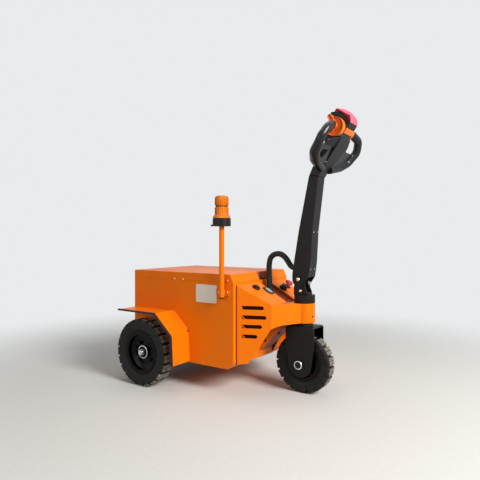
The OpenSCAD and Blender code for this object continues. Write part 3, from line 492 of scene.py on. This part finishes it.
def copy_of(node):
    """A copy of a CAD node's mesh as its own piece, merged and freed of lines across its flats."""
    piece = bpy.data.objects.new("copy_" + node, nodes[node].data.copy())
    bpy.context.scene.collection.objects.link(piece)
    shape(piece)
    bpy.ops.mesh.select_all(action="SELECT")
    bpy.ops.mesh.remove_doubles(threshold=MERGE)
    bpy.ops.mesh.dissolve_limited(angle_limit=math.radians(0.6))
    rest()
    return piece


def stand_for(piece, node, name):
    """Lets a piece that was made from a CAD node's copy take that node's place."""
    fit(piece, name, None, BODY_OF[node])
    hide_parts(node)


def soften(node, radius_mm, steps=2, from_deg=28, middle=None, scale=(1, 1, 1)):
    """Puts a CAD node's softened copy in its place, first resized about a middle if one is given."""
    piece = copy_of(node)
    if middle is not None:
        shape(piece)
        bpy.ops.mesh.select_all(action="SELECT")
        bpy.ops.transform.resize(value=scale, center_override=middle)
        rest()
    round_edges(piece, radius_mm, steps, from_deg)
    stand_for(piece, node, "soft_" + node)
    return piece


def turned(profile, sides=48):
    """A round piece on z: a disc, extruded and resized up its profile of radii and heights."""
    rest()
    radius, height = profile[0]
    bpy.ops.mesh.primitive_circle_add(vertices=sides, radius=radius * MM, fill_type="NGON",
                                      location=(0, 0, height * MM))
    piece = bpy.context.object
    bpy.ops.object.mode_set(mode="EDIT")
    bpy.ops.mesh.select_all(action="SELECT")
    for next_radius, next_height in profile[1:]:
        bpy.ops.mesh.extrude_region_move(
            TRANSFORM_OT_translate={"value": (0, 0, (next_height - height) * MM)})
        bpy.ops.transform.resize(value=(next_radius / radius, next_radius / radius, 1.0))
        radius, height = next_radius, next_height
    bpy.ops.mesh.select_all(action="SELECT")
    bpy.ops.mesh.normals_make_consistent(inside=False)
    rest()
    hold(piece)
    bpy.ops.object.transform_apply(location=True)
    shade(piece)
    return piece


def paint_where(piece, finish, test):
    """Gives a piece's faces that pass a test a finish of their own."""
    piece.data.materials.append(finish)
    index = len(piece.data.materials) - 1
    for face in piece.data.polygons:
        if test(face.center, face.normal):
            face.material_index = index


def stand_on(piece, place, out):
    """Stands a piece that was made on z at a place, pointing out of the surface there."""
    piece.location = place
    piece.rotation_euler = Vector(out).to_track_quat("Z", "Y").to_euler()


def set_copies(model, name, body, places):
    """Copies a small piece to each of its places, and takes the model away."""
    for number, (place, out) in enumerate(places, 1):
        hold(model)
        bpy.ops.object.duplicate()
        copy = bpy.context.object
        stand_on(copy, place, out)
        fit(copy, f"{name}_{number}", None, body)
    bpy.data.objects.remove(model, do_unlink=True)


def hex_head(across_mm, height_mm, finish):
    """A hexagon head with a chamfered crown, a washer under it and the bolt's end on top."""
    washer = turned([(across_mm * 0.62, 0), (across_mm * 0.62, 1.2), (across_mm * 0.56, 1.6)], 32)
    head = turned([(across_mm * 0.57, 1.0), (across_mm * 0.57, height_mm - 1.2),
                   (across_mm * 0.5, height_mm), (across_mm * 0.3, height_mm),
                   (across_mm * 0.28, height_mm + 0.8)], 6)
    hold(washer)
    head.select_set(True)
    bpy.ops.object.join()
    washer.data.materials.append(finish)
    return washer


def button_head(across_mm, height_mm, finish):
    """A low round screw head with a socket in it."""
    r = across_mm / 2
    head = turned([(r, 0), (r, height_mm * 0.25), (r * 0.93, height_mm * 0.6),
                   (r * 0.75, height_mm * 0.9), (r * 0.5, height_mm), (r * 0.42, height_mm),
                   (r * 0.36, height_mm * 0.5)], 24)
    head.data.materials.append(finish)
    return head


# Folded and welded sheet: the CAD shapes with the small rounding of bent and laser-cut steel

# Half the channel's width, and the lid's notch over it, where shade is painted
CHANNEL_HALF = 64
NOTCH_HALF, NOTCH_BACK, NOTCH_FRONT = 90, 430, 468


def in_channel(place, out):
    """Whether a face is in the console's channel: between its walls and under the slope."""
    x = (place.x - REAR_AXLE.x) / MM - HULL_FRONT
    slope_z = DECK_Z - 1 - x * math.tan(SLOPE)
    return abs(place.y) < CHANNEL_HALF * MM and x > 2 and place.z < slope_z * MM


def in_notch(place, out):
    """Whether a face is the front of the lid's notch over the channel."""
    x = (place.x - REAR_AXLE.x) / MM
    return abs(place.y) < NOTCH_HALF * MM and out.x > 0.9 and NOTCH_BACK < x < NOTCH_FRONT


def turned_down(place, out):
    """Whether a face looks down at the floor."""
    return out.z < -0.3


# Faces that get painted shade: the channel, the liner's faces that look down and the lid's notch
SHADE_WHERE = {"console": in_channel, "arch_liner": turned_down, "lid": in_notch}

for node, radius in (("body_tub", 1.4), ("lid", 1.4), ("bow_housing", 0.9), ("console", 1.2),
                     ("arch_liner", 0.8), ("mudguard_right", 0.8), ("mudguard_left", 0.8),
                     ("beacon_bracket", 0.9), ("lid_hinge", 0.7), ("steering_head", 1.5),
                     ("fork", 2.4), ("swivel_cap", 2.0), ("tiller_lug", 1.5),
                     ("hitch_plate", 1.6), ("hitch_jaw", 2.0), ("hitch_pin", 1.4),
                     ("drive_axle", 2.0), ("drive_motor", 4.0), ("battery", 5.0),
                     ("edging_right", 2.2), ("edging_left", 2.2), ("rim_right", 1.0),
                     ("rim_left", 1.0), ("rim_front", 1.0)):
    panel = soften(node, radius)
    # Painted shade on the faces picked above
    if node in SHADE_WHERE:
        paint_where(panel, POWDER_SHADE, SHADE_WHERE[node])


# Column: its two front edges are bent over a wider radius than the rest
FOLD_RADIUS = 7


def on_front_fold(start, end):
    """Whether an edge of the column is one of its two long front edges."""
    middle, run = (start + end) / 2 - PIVOT, end - start
    return (run.length > 100 * MM and abs(run.normalized().dot(COLUMN_UP)) > 0.97
            and abs(middle.y) > 25 * MM and middle.dot(COLUMN_OUT) > 15 * MM)


def dressed_column():
    """The column with its rounded front edges."""
    piece = copy_of("column")
    shape(piece)
    pick_edges(on_front_fold)
    bpy.ops.mesh.bevel(offset=FOLD_RADIUS * MM, segments=5, affect="EDGES", clamp_overlap=True)
    rest()
    round_edges(piece, 0.9, 2, 40)
    stand_for(piece, "column", "soft_column")


dressed_column()

# Tyres: lugs with a sipe across their middle and a groove round the tread

REAR_LUGS, FRONT_LUGS = 21, 18
GROOVE_R, GROOVE_OUT, SIPE_W, SIPE_DEPTH, TREAD_SKIN = 3.4, 0.5, 3.2, 4.5, 3.0


def dressed_tyre(node, axle, outside_mm, width_mm, lugs):
    """A tyre's softened copy, cut with its centre groove and sipes, its running faces scuffed and
    lightened with painted light.
    """
    low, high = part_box(node)
    middle = Vector((axle.x, (low.y + high.y) / 2, axle.z))
    radius = outside_mm / 2 * MM
    tyre = copy_of(node)
    finish_with(tyre, "BEVEL", width=0.9 * MM, segments=2, limit_method="ANGLE",
                angle_limit=math.radians(32), use_clamp_overlap=True)
    bpy.ops.mesh.primitive_torus_add(location=middle, rotation=(math.pi / 2, 0, 0),
                                     major_radius=radius + GROOVE_OUT * MM,
                                     minor_radius=GROOVE_R * MM,
                                     major_segments=96, minor_segments=8)
    groove = bpy.context.object
    finish_with(tyre, "BOOLEAN", operation="DIFFERENCE", object=groove)
    bpy.data.objects.remove(groove, do_unlink=True)
    bpy.ops.mesh.primitive_cube_add(size=1.0, location=middle - Vector((0, 0, radius)),
                                    scale=(SIPE_W * MM, (width_mm + 4) * MM, 2 * SIPE_DEPTH * MM))
    sipes = bpy.context.object
    bpy.ops.object.mode_set(mode="EDIT")
    bpy.ops.mesh.select_all(action="SELECT")
    for _ in range(lugs - 1):
        bpy.ops.mesh.duplicate()
        bpy.ops.transform.rotate(value=2 * math.pi / lugs, orient_axis="Y", center_override=middle)
    rest()
    finish_with(tyre, "BOOLEAN", operation="DIFFERENCE", object=sipes)
    bpy.data.objects.remove(sipes, do_unlink=True)
    shade(tyre, 32)
    # Running faces lighter: real scuffing and dust, and painted light on the lugs
    paint_where(tyre, TYRE_SCUFF_AND_LIGHT, lambda place, out: math.hypot(
        place.x - axle.x, place.z - axle.z) > radius - TREAD_SKIN * MM)
    stand_for(tyre, node, "lugged_" + node)


for node in ("tyre_right", "tyre_left"):
    dressed_tyre(node, REAR_AXLE, REAR_TYRE_D, REAR_TYRE_W, REAR_LUGS)
dressed_tyre("tyre_front", FRONT_AXLE, FRONT_TYRE_D, FRONT_TYRE_W, FRONT_LUGS)

# Wheels: hub caps, nuts, washers

# Radii of the nuts' circles, the fork's outer face, and how far the discs lie inside the tyres
REAR_NUT_CIRCLE, FRONT_NUT_CIRCLE, NUT_COUNT = 53, 40, 4
FORK_FACE, REAR_DISC_IN, FRONT_DISC_IN = 66, 34, 6


def hub_cap():
    """Chromed hub ring, black dome and the spindle's bright end, made round z from the disc's face."""
    cap = turned([(33, 0), (33, 3), (32.2, 4.5), (32.2, 19.5), (30.5, 22), (28.2, 22.6),
                  (27.8, 23.4), (26.4, 26), (22.5, 28.8), (15.5, 29.6), (14.6, 29.2), (13.5, 29.4),
                  (13.5, 38.6), (12.3, 40.2), (6.0, 40.4), (4.6, 38.6), (2.0, 37.0)], 64)
    cap.data.materials.append(CHROME)
    paint_where(cap, ENAMEL_BLACK, lambda place, out: 22.7 * MM < place.z < 29.5 * MM
                and math.hypot(place.x, place.y) > 14.2 * MM)
    return cap


def nut_places(x, y, z, circle, out):
    """The places of a wheel's nuts on their circle, the first an eighth of a turn up."""
    turns = [2 * math.pi * (n + 0.5) / NUT_COUNT for n in range(NUT_COUNT)]
    return [(at(x + circle * math.cos(a), y, z + circle * math.sin(a)), out) for a in turns]


for side, name, out in ((-1, "right", RIGHT), (1, "left", LEFT)):
    disc_y = side * (REAR_WHEEL_Y + REAR_TYRE_W * DISC_SHARE - REAR_DISC_IN)
    set_copies(hub_cap(), f"hub_cap_{name}", f"wheel_{name}",
               [(at(0, disc_y, REAR_WHEEL_Z), out)])
    set_copies(hex_head(17, 11, ENAMEL_BLACK), f"wheel_nut_{name}", f"wheel_{name}",
               nut_places(0, disc_y + side * 3, REAR_WHEEL_Z, REAR_NUT_CIRCLE, out))

front_disc_y = -(FRONT_TYRE_W * DISC_SHARE - FRONT_DISC_IN)
set_copies(hex_head(13, 7, ENAMEL_BLACK), "front_wheel_bolt", "wheel_front",
           nut_places(WHEELBASE, front_disc_y, FRONT_WHEEL_Z, FRONT_NUT_CIRCLE, RIGHT))


def axle_washer():
    """Bright washer of the front axle with its dark nut, made round z from the fork's face."""
    washer = turned([(20.9, 0), (20.9, 4.0), (19.8, 5.4), (15.6, 5.6), (14.8, 4.4)], 48)
    washer.data.materials.append(CHROME)
    paint_where(washer, BLACK_OXIDE, lambda place, out: math.hypot(place.x, place.y) < 14 * MM)
    nut = turned([(12.8, 4.0), (12.8, 8.0), (11.6, 9.2), (6.0, 9.2), (5.2, 8.0)], 6)
    nut.data.materials.append(BLACK_OXIDE)
    hold(washer)
    nut.select_set(True)
    bpy.ops.object.join()
    return washer


set_copies(axle_washer(), "axle_washer", "steering",
           [(at(WHEELBASE, -FORK_FACE, FRONT_WHEEL_Z), RIGHT),
            (at(WHEELBASE, FORK_FACE, FRONT_WHEEL_Z), LEFT)])

# Tiller head

# The throttle's far wing, how small it is, and the thumb's bed in each wing's outer face
FAR_WING_FROM, FAR_WING_SHARE = 54, 0.72
WING_FACE, BED_RIM, BED_SHARE, BED_FLOOR, BED_TOP = 86, 4.6, 0.94, 79, 86.5


def moulded(piece, voxel_mm, passes, finish):
    """Skins a copy over in small cells and eases it, so that its parts run together as moulded."""
    finish_with(piece, "REMESH", mode="VOXEL", voxel_size=voxel_mm * MM)
    finish_with(piece, "SMOOTH", factor=0.5, iterations=passes)
    hold(piece)
    bpy.ops.object.shade_smooth()
    piece.data.materials.clear()
    piece.data.materials.append(finish)


for node, name, voxel, passes, finish in (("grips", "grip_loops", 2.6, 8, GRIP_RUBBER),
                                          ("head_housing", "head_shell", 2.4, 5, ABS_BLACK)):
    moulding = copy_of(node)
    moulded(moulding, voxel, passes, finish)
    stand_for(moulding, node, name)


def throttle_wings():
    """The throttle: each wing's outer face is a bed for the thumb, and the far wing stays small."""
    piece = copy_of("throttle")
    shape(piece)
    pick_faces(lambda middle, out: middle.y > FAR_WING_FROM * MM)
    bpy.ops.transform.resize(value=(FAR_WING_SHARE, 1.0, FAR_WING_SHARE),
                             center_override=THROTTLE_HUB)
    pick_faces(lambda middle, out: abs(middle.y) > WING_FACE * MM and abs(out.y) > 0.9)
    bpy.ops.mesh.inset(thickness=BED_RIM * MM, use_individual=True)
    bpy.ops.transform.resize(value=(1.0, BED_SHARE, 1.0), center_override=THROTTLE_HUB)
    rest()
    moulded(piece, 1.3, 9, ACETAL_ORANGE)
    # Painted shade in each wing's thumb bed
    paint_where(piece, ACETAL_BED_SHADE, lambda middle, out: BED_FLOOR * MM < abs(middle.y) < BED_TOP * MM
                and out.y * middle.y > 0 and abs(out.y) > 0.3)
    stand_for(piece, "throttle", "throttle_wings")


throttle_wings()
crown = soften("reverse_button", 3.0, 3)
# Painted shade on the button's flanks
paint_where(crown, RED_SHADED, lambda middle, out: abs(out.y) > 0.8)
soften("horn_button", 1.4, 3, middle=HORN_AT, scale=(1.0, 0.84, 1.0))

# Bolts and screws of the body, the bracket and the column
BRACKET_FACE, PIVOT_FACE, CLEVIS_FACE = 259, 47, 29

both_lid_sides = [(at(x, side * HULL_SIDE, z), (0, side, 0)) for side in (-1, 1)
                  for x, z in ((110, 529.5), (166, 530), (442, 534))]
set_copies(button_head(9.5, 3.6, ZINC), "lid_screw", "lid", both_lid_sides)
set_copies(button_head(10, 4.0, ZINC), "bracket_screw", "chassis",
           [(at(444, -BRACKET_FACE, 481), RIGHT), (at(395, -BRACKET_FACE, 478), RIGHT)])
set_copies(button_head(19, 6.0, ZINC), "pivot_screw", "tiller",
           [(at(702, -PIVOT_FACE, 539), RIGHT), (at(702, PIVOT_FACE, 539), LEFT)])
set_copies(button_head(16, 5.0, ZINC), "clevis_screw", "steering",
           [(at(705, -CLEVIS_FACE, 483), RIGHT), (at(705, CLEVIS_FACE, 483), LEFT)])
set_copies(hex_head(15, 9, ZINC), "clevis_bolt", "steering",
           [(at(733, 4, 521), AHEAD)])
set_copies(button_head(6.5, 2.4, ZINC), "column_screw", "tiller",
           [(at(770, y, 763), AHEAD) for y in (-19, 21)]
           + [(at(755.6, y, 587), COLUMN_OUT) for y in (-22, 18)])

# Blank rating plate with its four rivets
PLATE_FACE, PLATE_T, CORNER_R, RIVET_IN = 255.5, 1.2, 4, 6


def rating_plate():
    """A thin plate with clipped corners and a raised rim, left blank, riveted to the right side."""
    bpy.ops.mesh.primitive_cube_add(size=1.0, location=at(PLATE_X, -PLATE_FACE, PLATE_Z),
                                    scale=(PLATE_L * MM, PLATE_T * MM, PLATE_H * MM))
    plate = bpy.context.object
    bpy.ops.object.transform_apply(scale=True)
    shape(plate)
    pick_edges(lambda start, end: abs((start - end).y) > PLATE_T / 2 * MM)
    bpy.ops.mesh.bevel(offset=CORNER_R * MM, segments=4, affect="EDGES")
    pick_faces(lambda middle, out: out.y < -0.9)
    bpy.ops.mesh.inset(thickness=2.2 * MM)
    bpy.ops.transform.translate(value=(0, 0.4 * MM, 0))
    rest()
    fit(plate, "rating_plate", PLATE_ALUMINIUM, "chassis")


rating_plate()
rivet_x, rivet_z = PLATE_L / 2 - RIVET_IN, PLATE_H / 2 - RIVET_IN
set_copies(button_head(5, 1.4, ZINC), "plate_rivet", "chassis",
           [(at(PLATE_X + sx * rivet_x, -(PLATE_FACE + 0.5), PLATE_Z + sz * rivet_z), RIGHT)
            for sx in (-1, 1) for sz in (-1, 1)])

# Bow's cheeks: painted shade as a dark strip in the gap at the hull and a dark sheet for the unlit
# room behind the louvre slots, and tabs in three of them

# Places along a cheek from the hull and inward from it, and the tabs' lean and heights
SHADE_SHEET_ALONG, SHADE_SHEET_INWARD, TAB_ALONG, TAB_INWARD, TAB_LEAN = 76, 13, 29, 3.2, math.radians(-42)
TAB_HEIGHTS = (366, 323, 277)


def bar(size_mm, round_mm, segments=2):
    """A bar with rounded edges about the origin."""
    rest()
    bpy.ops.mesh.primitive_cube_add(size=1.0, scale=[length * MM for length in size_mm])
    piece = bpy.context.object
    bpy.ops.object.transform_apply(scale=True)
    bpy.ops.object.mode_set(mode="EDIT")
    bpy.ops.mesh.select_all(action="SELECT")
    bpy.ops.mesh.bevel(offset=round_mm * MM, segments=segments, affect="EDGES")
    shade(piece)
    return piece


for side, name in ((-1, "right"), (1, "left")):
    # Painted shade: a dark strip standing for the shadowed gap between hull and cheek
    gap_shade = bar((3.2, 3.6, 368), 0.8)
    gap_shade.location = at(HULL_FRONT + 1.7, side * (CHEEK_BACK_Y + 1.9), 328)
    fit(gap_shade, f"hull_gap_shade_{name}", SHADE_INSIDE, "chassis")
    # Painted shade: a dark sheet standing for the unlit room behind the louvre slots
    shade_sheet = bar((128, 1.2, 182), 0.5)
    shade_sheet.rotation_euler = (0, 0, -side * CHEEK_TURN)
    ahead = SHADE_SHEET_ALONG * math.cos(CHEEK_TURN) - SHADE_SHEET_INWARD * math.sin(CHEEK_TURN)
    narrower = SHADE_SHEET_ALONG * math.sin(CHEEK_TURN) + SHADE_SHEET_INWARD * math.cos(CHEEK_TURN)
    shade_sheet.location = at(HULL_FRONT + ahead, side * (CHEEK_BACK_Y - narrower), 345)
    fit(shade_sheet, f"louvre_shade_sheet_{name}", SHADE_INSIDE, "chassis")
    tab_y = CHEEK_BACK_Y - TAB_ALONG * math.tan(CHEEK_TURN) - TAB_INWARD
    for number, z in enumerate(TAB_HEIGHTS, 1):
        tab = bar((3.0, 4.0, 21), 1.0)
        tab.rotation_euler = (0, TAB_LEAN, -side * CHEEK_TURN)
        tab.location = at(HULL_FRONT + TAB_ALONG, side * tab_y, z)
        fit(tab, f"louvre_tab_{name}_{number}", POWDER_ORANGE, "chassis")

# Beacon: ribs round its base and lens, painted shade in the lens's groove, an ear and the pole's plug

LENS_STEP, GROOVE_Z, GROOVE_HALF, TOP_SHARE = 886, 882, 2.2, 1.085
POLE_FOOT, EAR_Z, EAR_BACK, EAR_SIDE, EAR_TURN = 459, 793, 38, 22, math.radians(34)


def ring_of_ribs(name, finish, size_mm, round_mm, radius_mm, up_mm, count):
    """Upright ribs round the beacon, copied round it from one."""
    rib = bar(size_mm, round_mm, 1)
    middle = at(POLE_X, POLE_Y, up_mm)
    rib.location = middle + Vector((radius_mm * MM, 0, 0))
    hold(rib)
    bpy.ops.object.transform_apply(location=True)
    bpy.ops.object.mode_set(mode="EDIT")
    bpy.ops.mesh.select_all(action="SELECT")
    for _ in range(count - 1):
        bpy.ops.mesh.duplicate()
        bpy.ops.transform.rotate(value=2 * math.pi / count, orient_axis="Z",
                                 center_override=middle)
    rest()
    fit(rib, name, finish, "chassis")


ring_of_ribs("beacon_ribs", ABS_BLACK, (1.8, 2.6, 30), 0.6, 41.6, 807, 36)
ring_of_ribs("lens_ribs_low", AMBER_LENS, (2.2, 2.4, 34), 0.7, 31.8, 859, 24)
ring_of_ribs("lens_ribs_top", AMBER_LENS, (2.2, 2.4, 34), 0.7, 31.4, 904, 24)
soften("beacon_base", 2.0, 3)
ear = bar((16, 9, 8), 2.4, 3)
ear.rotation_euler = (0, 0, EAR_TURN)
ear.location = at(POLE_X - EAR_BACK, POLE_Y - EAR_SIDE, EAR_Z)
fit(ear, "beacon_ear", ABS_BLACK, "chassis")
plug = turned([(12.6, 0), (12.6, 4), (11, 6.5), (5, 7.5)], 32)
plug.data.materials.append(ABS_BLACK)
set_copies(plug, "pole_plug", "chassis", [(at(POLE_X, POLE_Y, POLE_FOOT), DOWN)])
soften("beacon_pole", 0.8)


def dressed_lens():
    """The lens: its upper tier a little wider than in the CAD, and painted shade in the groove under
    that tier.
    """
    lens = copy_of("beacon_lens")
    shape(lens)
    pick_faces(lambda middle, out: middle.z > LENS_STEP * MM)
    bpy.ops.transform.resize(value=(TOP_SHARE, TOP_SHARE, 1.0),
                             center_override=at(POLE_X, POLE_Y, LENS_STEP))
    rest()
    round_edges(lens, 3.0, 4, 24)
    # Painted shade: a dark band where the groove under the upper tier lies
    paint_where(lens, SHADE_INSIDE,
                lambda middle, out: abs(middle.z - GROOVE_Z * MM) < GROOVE_HALF * MM)
    stand_for(lens, "beacon_lens", "soft_beacon_lens")


dressed_lens()

# Controls on the console's slope
KEY_X, KEY_Y, KEY_TURN = 70, 86, math.radians(20)
METER_W, METER_L, METER_BARS, BAR_STEP = 31, 49, 5, 6

push = turned([(20, 0), (20, 2.4), (18.4, 4.4), (14.0, 4.6), (12.8, 3.0), (11.0, 3.0), (11.0, 8.4),
               (9.8, 9.8), (5.0, 9.2)], 48)
push.data.materials.append(ABS_BLACK)
set_copies(push, "push_knob", "chassis", [(on_slope(*BUTTON_AT, 5.0), SLOPE_OUT)])


def meter_face():
    """The battery meter's window: an oval lens in a raised black rim, with five bars and no text."""
    rest()
    bpy.ops.mesh.primitive_cylinder_add(vertices=48, radius=1.0, depth=1.0,
                                        scale=(METER_L / 2 * MM, METER_W / 2 * MM, 3.0 * MM))
    window = bpy.context.object
    bpy.ops.object.transform_apply(scale=True)
    round_edges(window, 1.0, 2)
    window.rotation_euler = (0, SLOPE, 0)
    window.location = on_slope(*METER_AT, 4.6)
    fit(window, "meter_window", METER_WINDOW, "chassis")
    for number in range(METER_BARS):
        mark = bar((3.0, 13.0 - number, 0.5), 0.2, 1)
        mark.rotation_euler = (0, SLOPE, 0)
        from_middle = (number - (METER_BARS - 1) / 2) * BAR_STEP
        mark.location = on_slope(*METER_AT, 6.3) + SLOPE_DOWN * from_middle * MM
        fit(mark, f"meter_bar_{number + 1}", PLATE_ALUMINIUM, "chassis")


meter_face()
soften("battery_meter", 1.2, 3, middle=on_slope(*METER_AT), scale=(1.0, 1.38, 1.0))
stop = turned([(12, 0), (12, 12), (10.5, 13), (10.5, 18), (15, 19.5), (20.4, 22), (21, 24.5),
               (20.2, 28), (17, 31.5), (12, 33.8), (6, 35), (2, 35.2)], 48)
stop.data.materials.append(STOP_RED)
set_copies(stop, "stop_mushroom", "chassis", [(on_slope(*STOP_AT), SLOPE_OUT)])
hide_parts("stop_button")
collar = turned([(19, 0), (19, 3), (17.5, 5), (13, 5.4)], 40)
collar.data.materials.append(ABS_BLACK)
set_copies(collar, "stop_collar", "chassis", [(on_slope(*STOP_AT), SLOPE_OUT)])
soften("key_switch", 1.6, 3)
soften("push_button", 1.2, 3)


def key():
    """The key in its switch: a flat bow on a short blade, with a split ring through the bow."""
    for name, size, edge, steps, out, finish, slot in (
            ("key_bow", (3.0, 17, 15), 1.3, 3, 46, ABS_BLACK, "black_plastic"),
            ("key_blade", (2.4, 7, 14), 0.8, 2, 35, CHROME, "bright_steel")):
        part = bar(size, edge, steps)
        part.rotation_euler = (0, SLOPE, KEY_TURN)
        part.location = on_slope(KEY_X, KEY_Y, out)
        fit(part, name, finish, "chassis")
    rest()
    bpy.ops.mesh.primitive_torus_add(major_radius=10 * MM, minor_radius=0.9 * MM,
                                     major_segments=40, minor_segments=8,
                                     location=on_slope(KEY_X + 10, KEY_Y - 2, 43),
                                     rotation=(math.radians(70), SLOPE, 0.4))
    ring = bpy.context.object
    bpy.ops.object.shade_smooth()
    fit(ring, "key_ring", CHROME, "chassis")


key()

# Painted shade as a black pane in the near grip's bowl, and the small screws of the head's face
SHADE_PANE_W, SHADE_PANE_H, SHADE_PANE_SLANT = 44, 40, 7


def bowl_shade_pane():
    """Painted shade: a black pane in the near grip's bowl where its recess gets no light, a flat
    slanting bar with rounded corners.
    """
    pane = bar((3.0, SHADE_PANE_W, SHADE_PANE_H), 1.2, 3)
    shape(pane)
    for end in (-1, 1):
        pick_faces(lambda middle, out, end=end: middle.z * end > (SHADE_PANE_H / 2 - 1.5) * MM)
        bpy.ops.transform.translate(value=(0, end * SHADE_PANE_SLANT * MM, 0))
    rest()
    pane.rotation_euler = (0, HEAD_LEAN, 0)
    pane.location = on_head(20.6, -117, 116)
    fit(pane, "bowl_shade_pane", SHADE_BLACK, "tiller")


bowl_shade_pane()
set_copies(button_head(6, 2.0, ZINC), "head_screw", "tiller",
           [(on_head(21, side * 44, up), HEAD_OUT) for side in (-1, 1) for up in (84, 196)])

# Plugs in the liner's side and the steering head

GREASE_TURN, GREASE_R, GREASE_Z = math.radians(-15), 49.6, 365
GREASE_OUT = Vector((math.cos(GREASE_TURN), math.sin(GREASE_TURN), 0))

hole_plug = turned([(9, 0), (9, 1.4), (7.4, 2.6), (4.0, 3.0)], 28)
# The liner's hole plug in the same black as the painted shade
hole_plug.data.materials.append(SHADE_BLACK)
set_copies(hole_plug, "liner_plug", "chassis",
           [(at(580, -15, 267), (0.75, 0, -0.66))])
grease_cap = turned([(4.6, 0), (4.6, 1.6), (3.4, 2.6), (1.2, 3.0)], 20)
grease_cap.data.materials.append(ABS_BLACK)
set_copies(grease_cap, "grease_cap", "chassis",
           [(at(WHEELBASE, 0, GREASE_Z) + GREASE_OUT * GREASE_R * MM, GREASE_OUT)])

# Battery under the lid: cell caps, terminals and straps
CELL_ROWS, CELL_PLACES, POST_X, STRAPS = (205, 368), (-150, -75, 0, 75, 150), 286, (246, 328)


def battery_details():
    """Ten screw caps in two rows, two posts with a red and a black cover, and two flat straps."""
    cap = turned([(17, 0), (17, 4), (15.5, 6), (9, 6.4), (8.4, 9), (3, 9.4)], 28)
    cap.data.materials.append(ABS_BLACK)
    set_copies(cap, "cell_cap", "chassis",
               [(at(x, y, BATTERY_TOP), UP) for x in CELL_ROWS for y in CELL_PLACES])
    for name, y, finish in (("post_minus", -195, ABS_BLACK), ("post_plus", 195, STOP_RED)):
        post = turned([(15, 0), (15, 3), (11, 5), (10, 16), (8, 18), (3, 18.4)], 28)
        post.data.materials.append(finish)
        set_copies(post, name, "chassis", [(at(POST_X, y, BATTERY_TOP), UP)])
    for number, x in enumerate(STRAPS, 1):
        strap = bar((24, 438, 2.4), 0.9, 2)
        strap.location = at(x, 0, BATTERY_TOP + 1.4)
        fit(strap, f"battery_strap_{number}", EDGE_RUBBER, "chassis")


battery_details()

# Cooling ribs round the drive motor's drum
MOTOR_X, MOTOR_Y, MOTOR_Z, RIB_REACH, RIB_STEP = -88, 135, 235, 50, 14

rib = turned([(61.5, 0), (61.5, 3.0), (60.8, 3.8), (58, 3.8)], 64)
rib.data.materials.append(CAST_IRON)
set_copies(rib, "motor_rib", "chassis",
           [(at(MOTOR_X, MOTOR_Y + offset, MOTOR_Z), LEFT)
            for offset in range(-RIB_REACH, RIB_REACH + 1, RIB_STEP)])

# Stage and lights, in metres and watts

# The floor's side, from where to where it fades into the room, and the room's light
FLOOR_SIZE, FADE_FROM, FADE_TO, ROOM_LIGHT = 12.0, 0.9, 2.6, 0.27
LAMP_TINT = (1.0, 0.97, 0.92)
LAMPS = (
    # name, place, target, size, power
    ("ahead", (3.8, -0.9, 2.7), (0.1, 0, 0.45), 1.6, 230),
    ("overhead", (-0.4, 0.3, 4.2), (0.1, 0, 0.4), 2.6, 34),
    ("side", (-1.4, -4.6, 1.6), (0, 0, 0.4), 2.4, 26),
)


def plain_floor():
    """A pale floor that keeps the machine's shadow and fades into the white room around it."""
    bpy.ops.mesh.primitive_plane_add(size=FLOOR_SIZE, location=(0, 0, 0))
    floor = bpy.context.object
    floor.name = "floor"
    material = blank_material("pale_floor")
    place = put(material, "ShaderNodeTexCoord")
    reach = put(material, "ShaderNodeVectorMath", {"operation": "LENGTH"},
                {"Vector": (place, "Object")})
    fade = put(material, "ShaderNodeMapRange",
               {"From Min": FADE_FROM, "From Max": FADE_TO, "interpolation_type": "SMOOTHSTEP"},
               {"Value": (reach, "Value")})
    grain = put(material, "ShaderNodeTexNoise", {"Scale": 60.0, "Detail": 4.0},
                {"Vector": (place, "Object")})
    tone = two_tones(material, (grain, "Fac"), "#DCDCDA", "#D2D2D0")
    paint = put(material, "ShaderNodeBsdfPrincipled", {"Roughness": 0.8, "Specular IOR Level": 0.1},
                {"Base Color": (tone, MIX_RESULT)})
    clear = put(material, "ShaderNodeBsdfTransparent")
    mixed = put(material, "ShaderNodeMixShader", None,
                {"Fac": (fade, "Result"), 1: (paint, "BSDF"), 2: (clear, "BSDF")})
    put(material, "ShaderNodeOutputMaterial", links={"Surface": (mixed, "Shader")})
    floor.data.materials.append(material)


def soft_light(name, place, target, size, power):
    """A square area light that looks at a point."""
    bpy.ops.object.light_add(type="AREA", location=place)
    lamp = bpy.context.object
    lamp.name = name
    lamp.data.size = size
    lamp.data.energy = power
    lamp.data.color = LAMP_TINT
    aim = Vector(target) - Vector(place)
    lamp.rotation_euler = aim.to_track_quat("-Z", "Y").to_euler()


def pale_room():
    """A world that looks white to the camera and in reflections, and gives the machine less light."""
    world = bpy.data.worlds.new("pale_room")
    bpy.context.scene.world = world
    world.use_nodes = True
    tree = world.node_tree
    ground = tree.nodes["Background"]
    ray = tree.nodes.new("ShaderNodeLightPath")
    seen = ray.outputs["Is Camera Ray"]
    for kind in ("Is Glossy Ray", "Is Transmission Ray"):
        both = tree.nodes.new("ShaderNodeMath")
        both.operation = "ADD"
        both.use_clamp = True
        tree.links.new(seen, both.inputs[0])
        tree.links.new(ray.outputs[kind], both.inputs[1])
        seen = both.outputs["Value"]
    strength = tree.nodes.new("ShaderNodeMapRange")
    strength.inputs["To Min"].default_value = ROOM_LIGHT
    strength.inputs["To Max"].default_value = 1.0
    tree.links.new(seen, strength.inputs["Value"])
    ground.inputs["Color"].default_value = linear("#E9EBEC")
    tree.links.new(strength.outputs["Result"], ground.inputs["Strength"])


rest()
plain_floor()
for lamp_row in LAMPS:
    soft_light(*lamp_row)
pale_room()
bpy.context.scene.view_settings.view_transform = "Standard"
